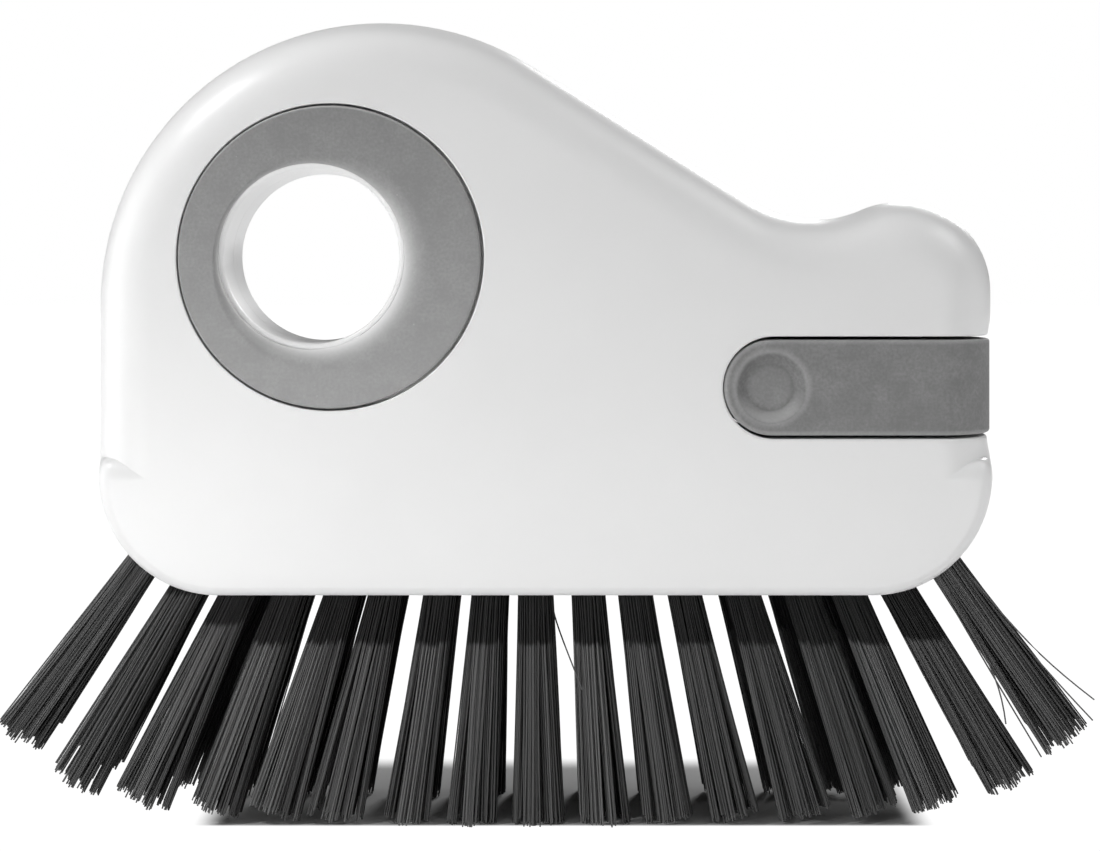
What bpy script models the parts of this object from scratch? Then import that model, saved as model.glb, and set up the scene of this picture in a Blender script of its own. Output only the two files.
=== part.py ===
# Window track brush: two moulded half shells round a drilled bristle block, a rubber ring grip on each
# face, and a scraper that pulls out of the right-hand end. It stands upright on its bristle tips.
# Metres, +Z up, +X to the right, and the front face looks along -Y. The origin is on the floor under the
# middle of the brush.
import random
from math import asin, atan2, cos, pi, radians, sin, sqrt

import bmesh
import bpy
from mathutils import Vector
from mathutils.geometry import delaunay_2d_cdt

for old_object in list(bpy.data.objects):
    bpy.data.objects.remove(old_object, do_unlink=True)

# Body outline, seen from the front
BRISTLE_REACH = 0.0373          # floor to the foot's lower edge
BODY_HEIGHT = 0.09375           # foot's lower edge to the top of the ring end
BODY_HALF_WIDTH = 0.0739        # at the parting plane between the shells
RING_END_RADIUS = 0.04675       # big round of the ring end
SLOPE_ANGLE = radians(31.6)     # straight back between the ring end and the saddle
SADDLE_RADIUS = 0.0200          # hollow in front of the thumb bump
BUMP_RADIUS = 0.0148            # thumb bump over the tool
BUMP_HEIGHT = 0.06405           # foot's lower edge to the top of the bump
FOOT_CORNER_RADIUS = 0.0193
FOOT_SIDE = 0.0002              # straight side between the foot's corner and the shelf
FOOT_SWELL = 0.0022             # how much wider the foot is at the parting plane than at the faces
SHELF_HEIGHT = 0.0020           # slope from the foot's full depth back to the rounded edge

# Shells
BODY_HALF_DEPTH = 0.0110
SIDE_LAND = 0.0010              # straight side between the parting plane and the rounded edge
FOOT_EDGE_RADIUS = 0.0016
WALL = 0.0020
RIB = 0.0016
GAP = 0.0003                    # between neighbouring pieces

# Ring grip and finger hole
RING_SIDE_MARGIN = 0.0144       # body's left side to the ring
RING_TOP_MARGIN = 0.01405       # top of the body to the ring
RING_RADIUS = 0.0248
RING_THICKNESS = 0.0024
RING_EDGE_RADIUS = 0.0004
HOLE_SHIFT = 0.00315            # the hole lies this far left of the ring's centre
HOLE_RADIUS = 0.01435
HOLE_LIP = 0.00065              # bare shell between the hole and the ring's inner edge
SLEEVE_WALL = 0.0018
ROLL_WIDTH = 0.0027             # the ring's face rolls into the hole over this width
ROLL_SHIFT = 0.0020             # the circle where the roll starts lies this far right of the hole's centre
ROLL_DROP = 0.0012              # and this far below it
ROLL_DEPTH = 0.0014

# Pull-out tool
TOOL_HEIGHT = 0.0337            # foot's lower edge to the tool's middle line
TOOL_HALF_HEIGHT = 0.0077
GRIP_LENGTH = 0.04515
DIMPLE_SHIFT = 0.0011           # the dimple lies this far left of the round end's centre
DIMPLE_RADIUS = 0.0068
DIMPLE_FLOOR_RADIUS = 0.0041
DIMPLE_DEPTH = 0.0014
CORE_COVER = 0.0045             # rubber round the blade's core at the round end
CORE_END_COVER = 0.0084         # and at the body's right-hand side
CORE_HALF_HEIGHT = 0.0050
CORE_HALF_THICKNESS = 0.0030
BLADE_HALF_HEIGHT = 0.0044
BLADE_HALF_THICKNESS = 0.0014
BLADE_LENGTH = 0.0412           # core to the scraping edge
BLADE_BEVEL_LENGTH = 0.0100
BLADE_EDGE_HALF_THICKNESS = 0.0003
BLADE_CORNER_CUT = 0.0030       # how much lower the blade's upper corner is at the edge
GUIDE_FROM_EDGE = 0.0120        # scraping edge to the rib that carries the blade inside the shells

# Locating pins on the front shell, which fit sockets on the back shell
PIN_RADIUS = 0.0022
PIN_REACH = 0.0045              # into the back shell, past the parting plane
BOSS_WALL = 0.0020
SIDE_PIN_INSET = 0.0139         # body's left side to the left pin
LOW_PIN_RISE = 0.0063           # ledge over the block to the two low pins
GUIDE_PIN_SHIFT = 0.0080        # blade's guide to the low pin beside it
SLOPE_PIN_SHIFT = 0.0160        # ring to the pin under the slope
SLOPE_PIN_RISE = 0.0093         # hole's centre to that pin

# Bristle block and tufts
BLOCK_HEIGHT = 0.0122
BLOCK_SIDE_WALL = 0.0006        # outside the tuft holes, at the foot's lower edge
LEDGE_HALF_LENGTH = 0.0600
TUFTS_IN_ROW = 17
ROW_END_INSET = 0.0061          # foot's end to the middle of the end tuft
ROW_SPLAY = radians(3.0)
END_LEAN = radians(33.7)        # lean of the end tufts
FAN_CURL = 0.144                # share of that lean that grows with the cube of the place in the row
TUFT_RADIUS = 0.0028
PLUG_TOP = 0.0083               # measured up the tuft's axis from the foot's lower edge
PLUG_BOTTOM = 0.0015
STANDING_CUT = 0.0005           # how much of the tips the floor's plane cuts off
STANDING_TUFTS = 2              # tufts on each side of the middle one that reach the floor
STRAND_RADIUS = 0.00042
STRAND_TIP_SCALE = 0.8          # the strand's radius at its tip over that at its root
STRAND_RINGS = ((3, 0.34), (7, 0.76))   # strands in each ring, and the ring's share of the tuft's radius
TUFT_TIP_SCALE = 1.50           # tuft's width at the tips over its width at the root
TIP_JITTER = 0.0003
LENGTH_JITTER = 0.0012
BRISTLE_SEED = 7

# Facets
ARC_STEP = radians(7.5)
EDGE_STEPS = 5
ROLL_STEPS = 4                  # in the ring's roll and in the dimple's wall
ROUND_SEGMENTS = 40
DIMPLE_SEGMENTS = 20
SMALL_SEGMENTS = 12
STRAND_SIDES = 3
OVERCUT = 0.0010                # how far a cutter runs past the faces that it opens
CAP_TOLERANCE = 1e-7            # in the plug's lower end, where it is split into triangles

# Heights above the floor
FOOT_BOTTOM_Z = BRISTLE_REACH
CORNER_Z = FOOT_BOTTOM_Z + FOOT_CORNER_RADIUS
FOOT_TOP_Z = CORNER_Z + FOOT_SIDE
SHELF_TOP_Z = FOOT_TOP_Z + SHELF_HEIGHT
BODY_TOP_Z = FOOT_BOTTOM_Z + BODY_HEIGHT
BUMP_TOP_Z = FOOT_BOTTOM_Z + BUMP_HEIGHT
HOLE_Z = BODY_TOP_Z - RING_TOP_MARGIN - RING_RADIUS
TOOL_Z = FOOT_BOTTOM_Z + TOOL_HEIGHT
BLOCK_INSET = WALL + GAP
BLOCK_BOTTOM_Z = FOOT_BOTTOM_Z + BLOCK_INSET
BLOCK_TOP_Z = BLOCK_BOTTOM_Z + BLOCK_HEIGHT
LEDGE_Z = BLOCK_TOP_Z + GAP
LEDGE_TOP_Z = LEDGE_Z + RIB

# Places along the body
FOOT_HALF_WIDTH = BODY_HALF_WIDTH - FOOT_SWELL
CORNER_X = FOOT_HALF_WIDTH - FOOT_CORNER_RADIUS
END_TUFT_X = FOOT_HALF_WIDTH - ROW_END_INSET
RING_X = RING_SIDE_MARGIN + RING_RADIUS - BODY_HALF_WIDTH
HOLE_X = RING_X - HOLE_SHIFT
TOOL_X = BODY_HALF_WIDTH - GRIP_LENGTH + TOOL_HALF_HEIGHT
DIMPLE_X = TOOL_X - DIMPLE_SHIFT
CORE_LEFT_X = TOOL_X - TOOL_HALF_HEIGHT + CORE_COVER
CORE_RIGHT_X = BODY_HALF_WIDTH - CORE_END_COVER
BLADE_EDGE_X = CORE_LEFT_X - BLADE_LENGTH
GUIDE_X = BLADE_EDGE_X + GUIDE_FROM_EDGE

# Depths from the parting plane
EDGE_RADIUS = BODY_HALF_DEPTH - SIDE_LAND
CAVITY_DEPTH = BODY_HALF_DEPTH - WALL
RING_BACK_DEPTH = BODY_HALF_DEPTH - RING_THICKNESS
RECESS_DEPTH = RING_BACK_DEPTH - GAP
BLOCK_HALF_DEPTH = CAVITY_DEPTH - GAP
BLOCK_HOLE_RADIUS = TUFT_RADIUS + GAP
ROW_OFFSET = BLOCK_HALF_DEPTH - BLOCK_SIDE_WALL - BLOCK_HOLE_RADIUS
OPENING_DEPTH = ROW_OFFSET + BLOCK_HOLE_RADIUS
OUTSIDE = BODY_HALF_DEPTH + OVERCUT
BELOW_SEAM = -OVERCUT
FRONT = -1
BACK = 1

BLOCK_CORNER_RADIUS = FOOT_CORNER_RADIUS - BLOCK_INSET
RING_INNER_RADIUS = HOLE_RADIUS + HOLE_LIP
ROLL_RADIUS = RING_INNER_RADIUS + ROLL_WIDTH
BOSS_RADIUS = PIN_RADIUS + GAP + BOSS_WALL


# Mesh helpers
def at(x, z, depth, side):
    return Vector((x, side * depth, z))


def ring_solid(rings, closed=False):
    # Rings of equal point counts become one closed skin, capped at both ends or joined end to start
    mesh = bmesh.new()
    loops = [[mesh.verts.new(point) for point in ring] for ring in rings]
    pairs = list(zip(loops, loops[1:]))
    if closed:
        pairs.append((loops[-1], loops[0]))
    else:
        mesh.faces.new(loops[0])
        mesh.faces.new(loops[-1])
    for first, second in pairs:
        for index in range(len(first)):
            following = (index + 1) % len(first)
            mesh.faces.new((first[index], first[following], second[following], second[index]))
    bmesh.ops.recalc_face_normals(mesh, faces=mesh.faces)
    return mesh


def prism(outline, near, far, side):
    # An outline of (x, z) points, pulled through the depth
    return ring_solid([[at(x, z, depth, side) for x, z in outline] for depth in (near, far)])


def circle(x, z, radius, segments=ROUND_SEGMENTS):
    return [(x + radius * cos(2 * pi * step / segments), z + radius * sin(2 * pi * step / segments))
            for step in range(segments)]


def rectangle(x_low, x_high, z_low, z_high):
    return [(x_low, z_low), (x_high, z_low), (x_high, z_high), (x_low, z_high)]


def arc(x, z, radius, start, end):
    # Points with their outward directions, as (x, z, direction x, direction z)
    steps = max(2, round(abs(end - start) / ARC_STEP))
    angles = [start + (end - start) * step / steps for step in range(steps + 1)]
    return [(x + radius * cos(angle), z + radius * sin(angle), cos(angle), sin(angle)) for angle in angles]


def quarter_turn(steps):
    return [0.5 * pi * step / steps for step in range(steps + 1)]


def make_object(name, mesh):
    data = bpy.data.meshes.new(name)
    mesh.to_mesh(data)
    mesh.free()
    piece = bpy.data.objects.new(name, data)
    bpy.context.scene.collection.objects.link(piece)
    return piece


def combine(piece, tool, operation):
    # Cuts, joins or intersects the piece with a second solid, which is then removed
    cutter = make_object("cutter", tool)
    modifier = piece.modifiers.new(operation.lower(), "BOOLEAN")
    modifier.operation = operation
    modifier.object = cutter
    evaluated = piece.evaluated_get(bpy.context.evaluated_depsgraph_get())
    result = bpy.data.meshes.new_from_object(evaluated)
    piece.modifiers.remove(modifier)
    plain = piece.data
    piece.data = result
    bpy.data.meshes.remove(plain)
    bpy.data.objects.remove(cutter, do_unlink=True)


def make_material(name, colour, roughness):
    material = bpy.data.materials.new(name)
    material.use_nodes = True
    shader = material.node_tree.nodes["Principled BSDF"]
    shader.inputs["Base Color"].default_value = (*colour, 1.0)
    shader.inputs["Roughness"].default_value = roughness
    shader.inputs["Metallic"].default_value = 0.0
    return material


def finish(piece, name, material):
    piece.name = name
    piece.data.name = name
    piece.data.materials.clear()
    piece.data.materials.append(material)
    piece.data.shade_smooth()
    piece.data.set_sharp_from_angle(angle=radians(30))
    return piece


# Outlines
def body_outline():
    # Upper body from the right shelf over the bump, saddle, slope and ring end to the left shelf
    bump = Vector((BODY_HALF_WIDTH - BUMP_RADIUS, BUMP_TOP_Z - BUMP_RADIUS))
    ring_end = Vector((RING_END_RADIUS - BODY_HALF_WIDTH, BODY_TOP_Z - RING_END_RADIUS))
    slope_out = Vector((sin(SLOPE_ANGLE), cos(SLOPE_ANGLE)))
    slope_down = Vector((cos(SLOPE_ANGLE), -sin(SLOPE_ANGLE)))
    slope_top = ring_end + slope_out * RING_END_RADIUS
    # The saddle's circle touches the slope and the bump
    start = slope_top + slope_out * SADDLE_RADIUS - bump
    along = start.dot(slope_down)
    reach = (SADDLE_RADIUS + BUMP_RADIUS) ** 2 - start.length_squared + along ** 2
    saddle = bump + start + slope_down * (-along - sqrt(reach))
    touch = atan2(saddle.y - bump.y, saddle.x - bump.x)
    slope_angle = atan2(slope_out.y, slope_out.x)
    points = [(BODY_HALF_WIDTH, SHELF_TOP_Z, 1.0, 0.0)]
    points += arc(bump.x, bump.y, BUMP_RADIUS, 0.0, touch)
    hollow = arc(saddle.x, saddle.y, SADDLE_RADIUS, touch + pi, slope_angle + pi)
    points += [(x, z, -out_x, -out_z) for x, z, out_x, out_z in hollow[1:]]
    points += arc(ring_end.x, ring_end.y, RING_END_RADIUS, slope_angle, pi)
    points.append((-BODY_HALF_WIDTH, SHELF_TOP_Z, -1.0, 0.0))
    return points


def foot_outline():
    # Foot at the faces, from the left shelf round the bottom to the right shelf
    points = [(-FOOT_HALF_WIDTH, FOOT_TOP_Z, -1.0, 0.0)]
    points += arc(-CORNER_X, CORNER_Z, FOOT_CORNER_RADIUS, pi, 1.5 * pi)
    points += arc(CORNER_X, CORNER_Z, FOOT_CORNER_RADIUS, 1.5 * pi, 2 * pi)
    points.append((FOOT_HALF_WIDTH, FOOT_TOP_Z, 1.0, 0.0))
    return points


def foot_bottom(x):
    # Height of the foot's lower edge at x
    past = max(abs(x) - CORNER_X, 0.0)
    return CORNER_Z - sqrt(max(FOOT_CORNER_RADIUS ** 2 - past ** 2, 0.0))


def slot_outline(half_height):
    # Straight slot with a round left end, open to the right
    round_end = arc(TOOL_X, TOOL_Z, half_height, 0.5 * pi, 1.5 * pi)
    right_x = BODY_HALF_WIDTH + OVERCUT
    points = [(x, z) for x, z, _, _ in round_end]
    return points + [(right_x, TOOL_Z - half_height), (right_x, TOOL_Z + half_height)]


def pin_places():
    # Beside the ring's lower left, under the slope, in the thumb bump and beside the blade's guide
    low_z = LEDGE_TOP_Z + LOW_PIN_RISE
    return [
        (SIDE_PIN_INSET - BODY_HALF_WIDTH, low_z),
        (RING_X + RING_RADIUS + SLOPE_PIN_SHIFT, HOLE_Z + SLOPE_PIN_RISE),
        (BODY_HALF_WIDTH - BUMP_RADIUS, BUMP_TOP_Z - BUMP_RADIUS),
        (GUIDE_X + GUIDE_PIN_SHIFT, low_z),
    ]


# Shells
def upper_section(wall):
    # Steps from the parting plane over the rounded edge to the face, as (inset, depth)
    radius = EDGE_RADIUS - wall
    return [(wall + radius * (1 - cos(angle)), SIDE_LAND + radius * sin(angle))
            for angle in quarter_turn(EDGE_STEPS)]


def foot_section(wall, sideways):
    # As many steps for the foot: swollen end, small fillet, then the flat face
    radius = max(FOOT_EDGE_RADIUS - wall, 0.0)
    face = BODY_HALF_DEPTH - wall
    steps = [(wall, 0.5 * (face - radius))]
    for angle in quarter_turn(EDGE_STEPS - 2):
        steps.append((wall + radius * (1 - cos(angle)), face - radius + radius * sin(angle)))
    swell = FOOT_SWELL * sideways
    swollen = [(inset + swell * (depth / BODY_HALF_DEPTH) ** 2, depth) for inset, depth in steps]
    return swollen + [(EDGE_RADIUS, face)]


def half_body(side, wall, start_depth):
    # One half of the body's form, a wall thickness inside the outer skin
    columns = []
    for x, z, out_x, out_z in body_outline():
        section = [(wall, start_depth)] + upper_section(wall)
        columns.append([at(x - out_x * inset, z - out_z * inset, depth, side) for inset, depth in section])
    for x, z, out_x, out_z in foot_outline():
        swell = FOOT_SWELL * abs(out_x)
        section = [(wall, start_depth)] + foot_section(wall, abs(out_x))
        columns.append([at(x + out_x * (swell - inset), z - out_z * (inset - swell), depth, side)
                        for inset, depth in section])
    body = ring_solid([[column[level] for column in columns] for level in range(EDGE_STEPS + 2)])
    # The four-sided faces twist at the shelf and round the corners, so they are split
    bmesh.ops.triangulate(body, faces=[face for face in body.faces if len(face.verts) == 4])
    return body


def foot_band(outer_inset, inner_inset, end_angle):
    # Strip along the foot's lower edge, up to end_angle from straight down at both corners
    bands = []
    for inset in (outer_inset, inner_inset):
        radius = FOOT_CORNER_RADIUS - inset
        left = arc(-CORNER_X, CORNER_Z, radius, 1.5 * pi - end_angle, 1.5 * pi)
        right = arc(CORNER_X, CORNER_Z, radius, 1.5 * pi, 1.5 * pi + end_angle)
        bands.append([(x, z) for x, z, _, _ in left + right])
    return bands[0] + bands[1][::-1]


def opening_angle():
    # The lowest wall opens as far round each corner as the end tuft needs
    tuft_angle = asin((END_TUFT_X - CORNER_X) / FOOT_CORNER_RADIUS)
    return tuft_angle + (TUFT_RADIUS + WALL) / FOOT_CORNER_RADIUS


def solid_places():
    # What stays solid inside a shell: (outline, depth where it starts), all of it up to the face
    guide_half_height = TOOL_HALF_HEIGHT + GAP + RIB
    guide = rectangle(GUIDE_X - RIB, GUIDE_X, TOOL_Z - guide_half_height, TOOL_Z + guide_half_height)
    seam = 2 * BELOW_SEAM
    places = [
        (circle(RING_X, HOLE_Z, RING_RADIUS + GAP + RIB), RECESS_DEPTH - RIB),
        (circle(HOLE_X, HOLE_Z, HOLE_RADIUS + SLEEVE_WALL), seam),
        (slot_outline(guide_half_height), seam),
        (rectangle(-LEDGE_HALF_LENGTH, LEDGE_HALF_LENGTH, LEDGE_Z, LEDGE_TOP_Z), seam),
        (guide, seam),
    ]
    return places + [(circle(x, z, BOSS_RADIUS, SMALL_SEGMENTS), seam) for x, z in pin_places()]


def shell_cuts():
    # What opens a shell: (outline, depth where it starts, depth where it ends)
    blade_height = BLADE_HALF_HEIGHT + GAP
    blade_way = rectangle(GUIDE_X - RIB - OVERCUT, TOOL_X, TOOL_Z - blade_height, TOOL_Z + blade_height)
    tuft_way = foot_band(-FOOT_SWELL - OVERCUT, WALL + OVERCUT, opening_angle())
    return [
        (circle(RING_X, HOLE_Z, RING_RADIUS + GAP), RECESS_DEPTH, OUTSIDE),
        (circle(HOLE_X, HOLE_Z, HOLE_RADIUS), BELOW_SEAM, OUTSIDE),
        (slot_outline(TOOL_HALF_HEIGHT + GAP), BELOW_SEAM, OUTSIDE),
        (blade_way, BELOW_SEAM, BLADE_HALF_THICKNESS + GAP),
        (tuft_way, BELOW_SEAM, OPENING_DEPTH),
    ]


def make_shell(side):
    # The cavity is the inner form less what stays solid, and the shell is the outer form less the cavity
    cavity = make_object("cavity", half_body(side, WALL, BELOW_SEAM))
    for outline, near in solid_places():
        combine(cavity, prism(outline, near, CAVITY_DEPTH + 0.5 * WALL, side), "DIFFERENCE")
    hollow = bmesh.new()
    hollow.from_mesh(cavity.data)
    bpy.data.objects.remove(cavity, do_unlink=True)
    shell = make_object("shell", half_body(side, 0.0, 0.5 * GAP))
    combine(shell, hollow, "DIFFERENCE")
    for outline, near, far in shell_cuts():
        combine(shell, prism(outline, near, far, side), "DIFFERENCE")
    for x, z in pin_places():
        if side == FRONT:
            pin = circle(x, z, PIN_RADIUS, SMALL_SEGMENTS)
            combine(shell, prism(pin, -PIN_REACH, 0.5 * CAVITY_DEPTH, side), "UNION")
        else:
            socket = circle(x, z, PIN_RADIUS + GAP, SMALL_SEGMENTS)
            combine(shell, prism(socket, BELOW_SEAM, PIN_REACH + GAP, side), "DIFFERENCE")
    return shell


# Ring grips
def make_ring_grip(side):
    # Rubber ring with an off-centre hole: flat face, then a roll into the hole, widest at the lower right
    steps = [
        (RING_X, HOLE_Z, RING_RADIUS, RING_BACK_DEPTH),
        (RING_X, HOLE_Z, RING_RADIUS, BODY_HALF_DEPTH - RING_EDGE_RADIUS),
        (RING_X, HOLE_Z, RING_RADIUS - RING_EDGE_RADIUS, BODY_HALF_DEPTH),
    ]
    for angle in quarter_turn(ROLL_STEPS):
        outer_share = 1 - sin(angle)
        steps.append((
            HOLE_X + ROLL_SHIFT * outer_share,
            HOLE_Z - ROLL_DROP * outer_share,
            RING_INNER_RADIUS + (ROLL_RADIUS - RING_INNER_RADIUS) * outer_share,
            BODY_HALF_DEPTH - ROLL_DEPTH * (1 - cos(angle)),
        ))
    steps.append((HOLE_X, HOLE_Z, RING_INNER_RADIUS, RING_BACK_DEPTH))
    rings = [[at(x, z, depth, side) for x, z in circle(centre_x, centre_z, radius)]
             for centre_x, centre_z, radius, depth in steps]
    return make_object("ring", ring_solid(rings, closed=True))


# Bristle block and tufts
def tuft_frame(place, side):
    # place runs from -1 at the left end of the row to 1 at the right end
    # Point on the foot's lower edge, two directions across the tuft, and the direction to its tips
    x = place * END_TUFT_X
    lean = END_LEAN * ((1 - FAN_CURL) * place + FAN_CURL * place ** 3)
    root = at(x, foot_bottom(x), ROW_OFFSET, side)
    axis = Vector((sin(lean) * cos(ROW_SPLAY), side * sin(ROW_SPLAY), -cos(lean) * cos(ROW_SPLAY)))
    across = Vector((cos(lean), 0.0, sin(lean)))
    return root, across, axis.cross(across), axis


def tuft_numbers():
    # Counted from the middle of the row: 0 is the middle tuft
    half = (TUFTS_IN_ROW - 1) / 2
    return [number - half for number in range(TUFTS_IN_ROW)]


def tuft_place(number):
    return number / ((TUFTS_IN_ROW - 1) / 2)


def tuft_ring(frame, radius, along):
    root, across, through, axis = frame
    return [root + axis * along + across * u + through * v for u, v in circle(0, 0, radius, SMALL_SEGMENTS)]


def block_outline():
    # Follows the foot inside the shells, up to the block's top
    top_drop = max(CORNER_Z - BLOCK_TOP_Z, 0.0)
    start = asin(top_drop / BLOCK_CORNER_RADIUS)
    left = arc(-CORNER_X, CORNER_Z, BLOCK_CORNER_RADIUS, pi + start, 1.5 * pi)
    right = arc(CORNER_X, CORNER_Z, BLOCK_CORNER_RADIUS, 1.5 * pi, 2 * pi - start)
    points = [(x, z) for x, z, _, _ in left + right]
    if top_drop == 0.0:
        half_length = CORNER_X + BLOCK_CORNER_RADIUS
        points += [(half_length, BLOCK_TOP_Z), (-half_length, BLOCK_TOP_Z)]
    return points


def make_bristle_block():
    block = make_object("block", prism(block_outline(), -BLOCK_HALF_DEPTH, BLOCK_HALF_DEPTH, BACK))
    drills = bmesh.new()
    for side in (FRONT, BACK):
        for number in tuft_numbers():
            frame = tuft_frame(tuft_place(number), side)
            ends = (-PLUG_TOP - GAP, OVERCUT)
            drill = ring_solid([tuft_ring(frame, BLOCK_HOLE_RADIUS, along) for along in ends])
            drill_data = bpy.data.meshes.new("drill")
            drill.to_mesh(drill_data)
            drill.free()
            drills.from_mesh(drill_data)
            bpy.data.meshes.remove(drill_data)
    combine(block, drills, "DIFFERENCE")
    return block


def strand_centres():
    # Over the plug's end, in metres from its middle
    centres = []
    for count, share in STRAND_RINGS:
        for step in range(count):
            angle = 2 * pi * (step + 0.25) / count
            centres.append(Vector((cos(angle), sin(angle))) * share * TUFT_RADIUS)
    return centres


def strand_shapes(number):
    # Each strand's section at its root and at its tip, seen along the tuft, and the length that it reaches
    chance = random.Random(BRISTLE_SEED + abs(number))
    uneven = LENGTH_JITTER if abs(number) > STANDING_TUFTS else 0.0
    shapes = []
    for centre in strand_centres():
        turn = chance.uniform(0.0, 2 * pi)
        angles = [turn + 2 * pi * corner / STRAND_SIDES for corner in range(STRAND_SIDES)]
        section = [Vector((cos(angle), sin(angle))) * STRAND_RADIUS for angle in angles]
        jitter = Vector((chance.uniform(-1, 1), chance.uniform(-1, 1))) * TIP_JITTER
        tip_centre = centre * TUFT_TIP_SCALE + jitter
        root_shape = [centre + corner for corner in section]
        tip_shape = [tip_centre + corner * STRAND_TIP_SCALE for corner in section]
        shapes.append((root_shape, tip_shape, BRISTLE_REACH + STANDING_CUT - uneven * chance.random()))
    return shapes


def make_tuft(number, side):
    # A plug in the block's hole whose lower end carries the strands, each a tapered three-sided prism
    root, across, through, axis = tuft_frame(tuft_place(number), side)
    mirror = -1.0 if number < 0 else 1.0
    strands = strand_shapes(number)

    def place_point(point, along):
        return root + axis * along + across * point[0] * mirror + through * point[1] * side

    # The plug's lower end is one flat cap with the strands' roots left open in it
    rim = circle(0, 0, TUFT_RADIUS, SMALL_SEGMENTS)
    flat_points = [Vector(point) for point in rim]
    edges = [(index, (index + 1) % SMALL_SEGMENTS) for index in range(SMALL_SEGMENTS)]
    for root_shape, _, _ in strands:
        first = len(flat_points)
        flat_points += root_shape
        edges += [(first + corner, first + (corner + 1) % STRAND_SIDES) for corner in range(STRAND_SIDES)]
    cap_points, _, cap_faces, sources, _, _ = delaunay_2d_cdt(flat_points, edges, [], 0, CAP_TOLERANCE)
    source_of = [source[0] for source in sources]

    mesh = bmesh.new()
    cap = [mesh.verts.new(place_point(point, -PLUG_BOTTOM)) for point in cap_points]
    vertex_of = dict(zip(source_of, cap))
    for face in cap_faces:
        owners = {(source_of[index] - SMALL_SEGMENTS) // STRAND_SIDES for index in face}
        inside_strand = len(owners) == 1 and min(owners) >= 0
        if not inside_strand:
            mesh.faces.new([cap[index] for index in face])
    top = [mesh.verts.new(place_point(point, -PLUG_TOP)) for point in rim]
    mesh.faces.new(top)
    for index in range(SMALL_SEGMENTS):
        following = (index + 1) % SMALL_SEGMENTS
        mesh.faces.new((vertex_of[index], vertex_of[following], top[following], top[index]))

    for strand, (_, tip_shape, length) in enumerate(strands):
        first = SMALL_SEGMENTS + strand * STRAND_SIDES
        base = [vertex_of[first + corner] for corner in range(STRAND_SIDES)]
        tip = []
        for start, corner in zip(base, tip_shape):
            end = place_point(corner, length)
            if end.z < 0.0:
                end = start.co.lerp(end, start.co.z / (start.co.z - end.z))
            tip.append(mesh.verts.new(end))
        for corner in range(STRAND_SIDES):
            following = (corner + 1) % STRAND_SIDES
            mesh.faces.new((base[corner], base[following], tip[following], tip[corner]))
        mesh.faces.new(tip)
    bmesh.ops.recalc_face_normals(mesh, faces=mesh.faces)
    return make_object("tuft", mesh)


# Pull-out tool
def plan_outline():
    # The body's right-hand end seen from above, with the same rounded edge, as (x, y)
    left_x = TOOL_X - 2 * TOOL_HALF_HEIGHT
    centre_x = BODY_HALF_WIDTH - EDGE_RADIUS
    quarter = [(centre_x + EDGE_RADIUS * sin(angle), SIDE_LAND + EDGE_RADIUS * cos(angle))
               for angle in quarter_turn(2 * EDGE_STEPS)]
    back = [(left_x, BODY_HALF_DEPTH)] + quarter
    return back + [(x, -y) for x, y in reversed(back)]


def dimple(side):
    # Round hollow with a curved wall and a flat floor
    rings = [[at(x, z, OUTSIDE, side) for x, z in circle(DIMPLE_X, TOOL_Z, DIMPLE_RADIUS, DIMPLE_SEGMENTS)]]
    for angle in quarter_turn(ROLL_STEPS):
        radius = DIMPLE_FLOOR_RADIUS + (DIMPLE_RADIUS - DIMPLE_FLOOR_RADIUS) * cos(angle)
        depth = BODY_HALF_DEPTH - DIMPLE_DEPTH * sin(angle)
        rings.append([at(x, z, depth, side) for x, z in circle(DIMPLE_X, TOOL_Z, radius, DIMPLE_SEGMENTS)])
    return ring_solid(rings)


def blade_solid(extra):
    # Core and blade as a chain of rectangles along X, each grown by extra
    sections = [
        (CORE_RIGHT_X + extra, -CORE_HALF_HEIGHT, CORE_HALF_HEIGHT, CORE_HALF_THICKNESS),
        (CORE_LEFT_X - extra, -CORE_HALF_HEIGHT, CORE_HALF_HEIGHT, CORE_HALF_THICKNESS),
        (CORE_LEFT_X - extra, -BLADE_HALF_HEIGHT, BLADE_HALF_HEIGHT, BLADE_HALF_THICKNESS),
        (BLADE_EDGE_X + BLADE_BEVEL_LENGTH, -BLADE_HALF_HEIGHT, BLADE_HALF_HEIGHT, BLADE_HALF_THICKNESS),
        (BLADE_EDGE_X, -BLADE_HALF_HEIGHT, BLADE_HALF_HEIGHT - BLADE_CORNER_CUT, BLADE_EDGE_HALF_THICKNESS),
    ]
    rings = []
    for x, low, high, half_thickness in sections:
        thick = half_thickness + extra
        corners = rectangle(-thick, thick, TOOL_Z + low - extra, TOOL_Z + high + extra)
        rings.append([Vector((x, y, z)) for y, z in corners])
    return ring_solid(rings)


def make_tool_grip():
    # Fills the slot, with the body's own rounded edge at its right-hand end
    grip = make_object("grip", prism(slot_outline(TOOL_HALF_HEIGHT), -OUTSIDE, OUTSIDE, BACK))
    tall = TOOL_HALF_HEIGHT + OVERCUT
    levels = [[Vector((x, y, TOOL_Z + height)) for x, y in plan_outline()] for height in (-tall, tall)]
    combine(grip, ring_solid(levels), "INTERSECT")
    for side in (FRONT, BACK):
        combine(grip, dimple(side), "DIFFERENCE")
    combine(grip, blade_solid(GAP), "DIFFERENCE")
    return grip


# Materials and pieces
white_plastic = make_material("white moulded shell", (0.86, 0.86, 0.86), 0.42)
grey_rubber = make_material("grey rubber grip", (0.22, 0.22, 0.22), 0.75)
dark_plastic = make_material("dark bristle block", (0.03, 0.03, 0.03), 0.55)
dark_filament = make_material("dark bristle filament", (0.02, 0.02, 0.02), 0.45)
pale_plastic = make_material("pale scraper plastic", (0.62, 0.62, 0.62), 0.40)

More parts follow.
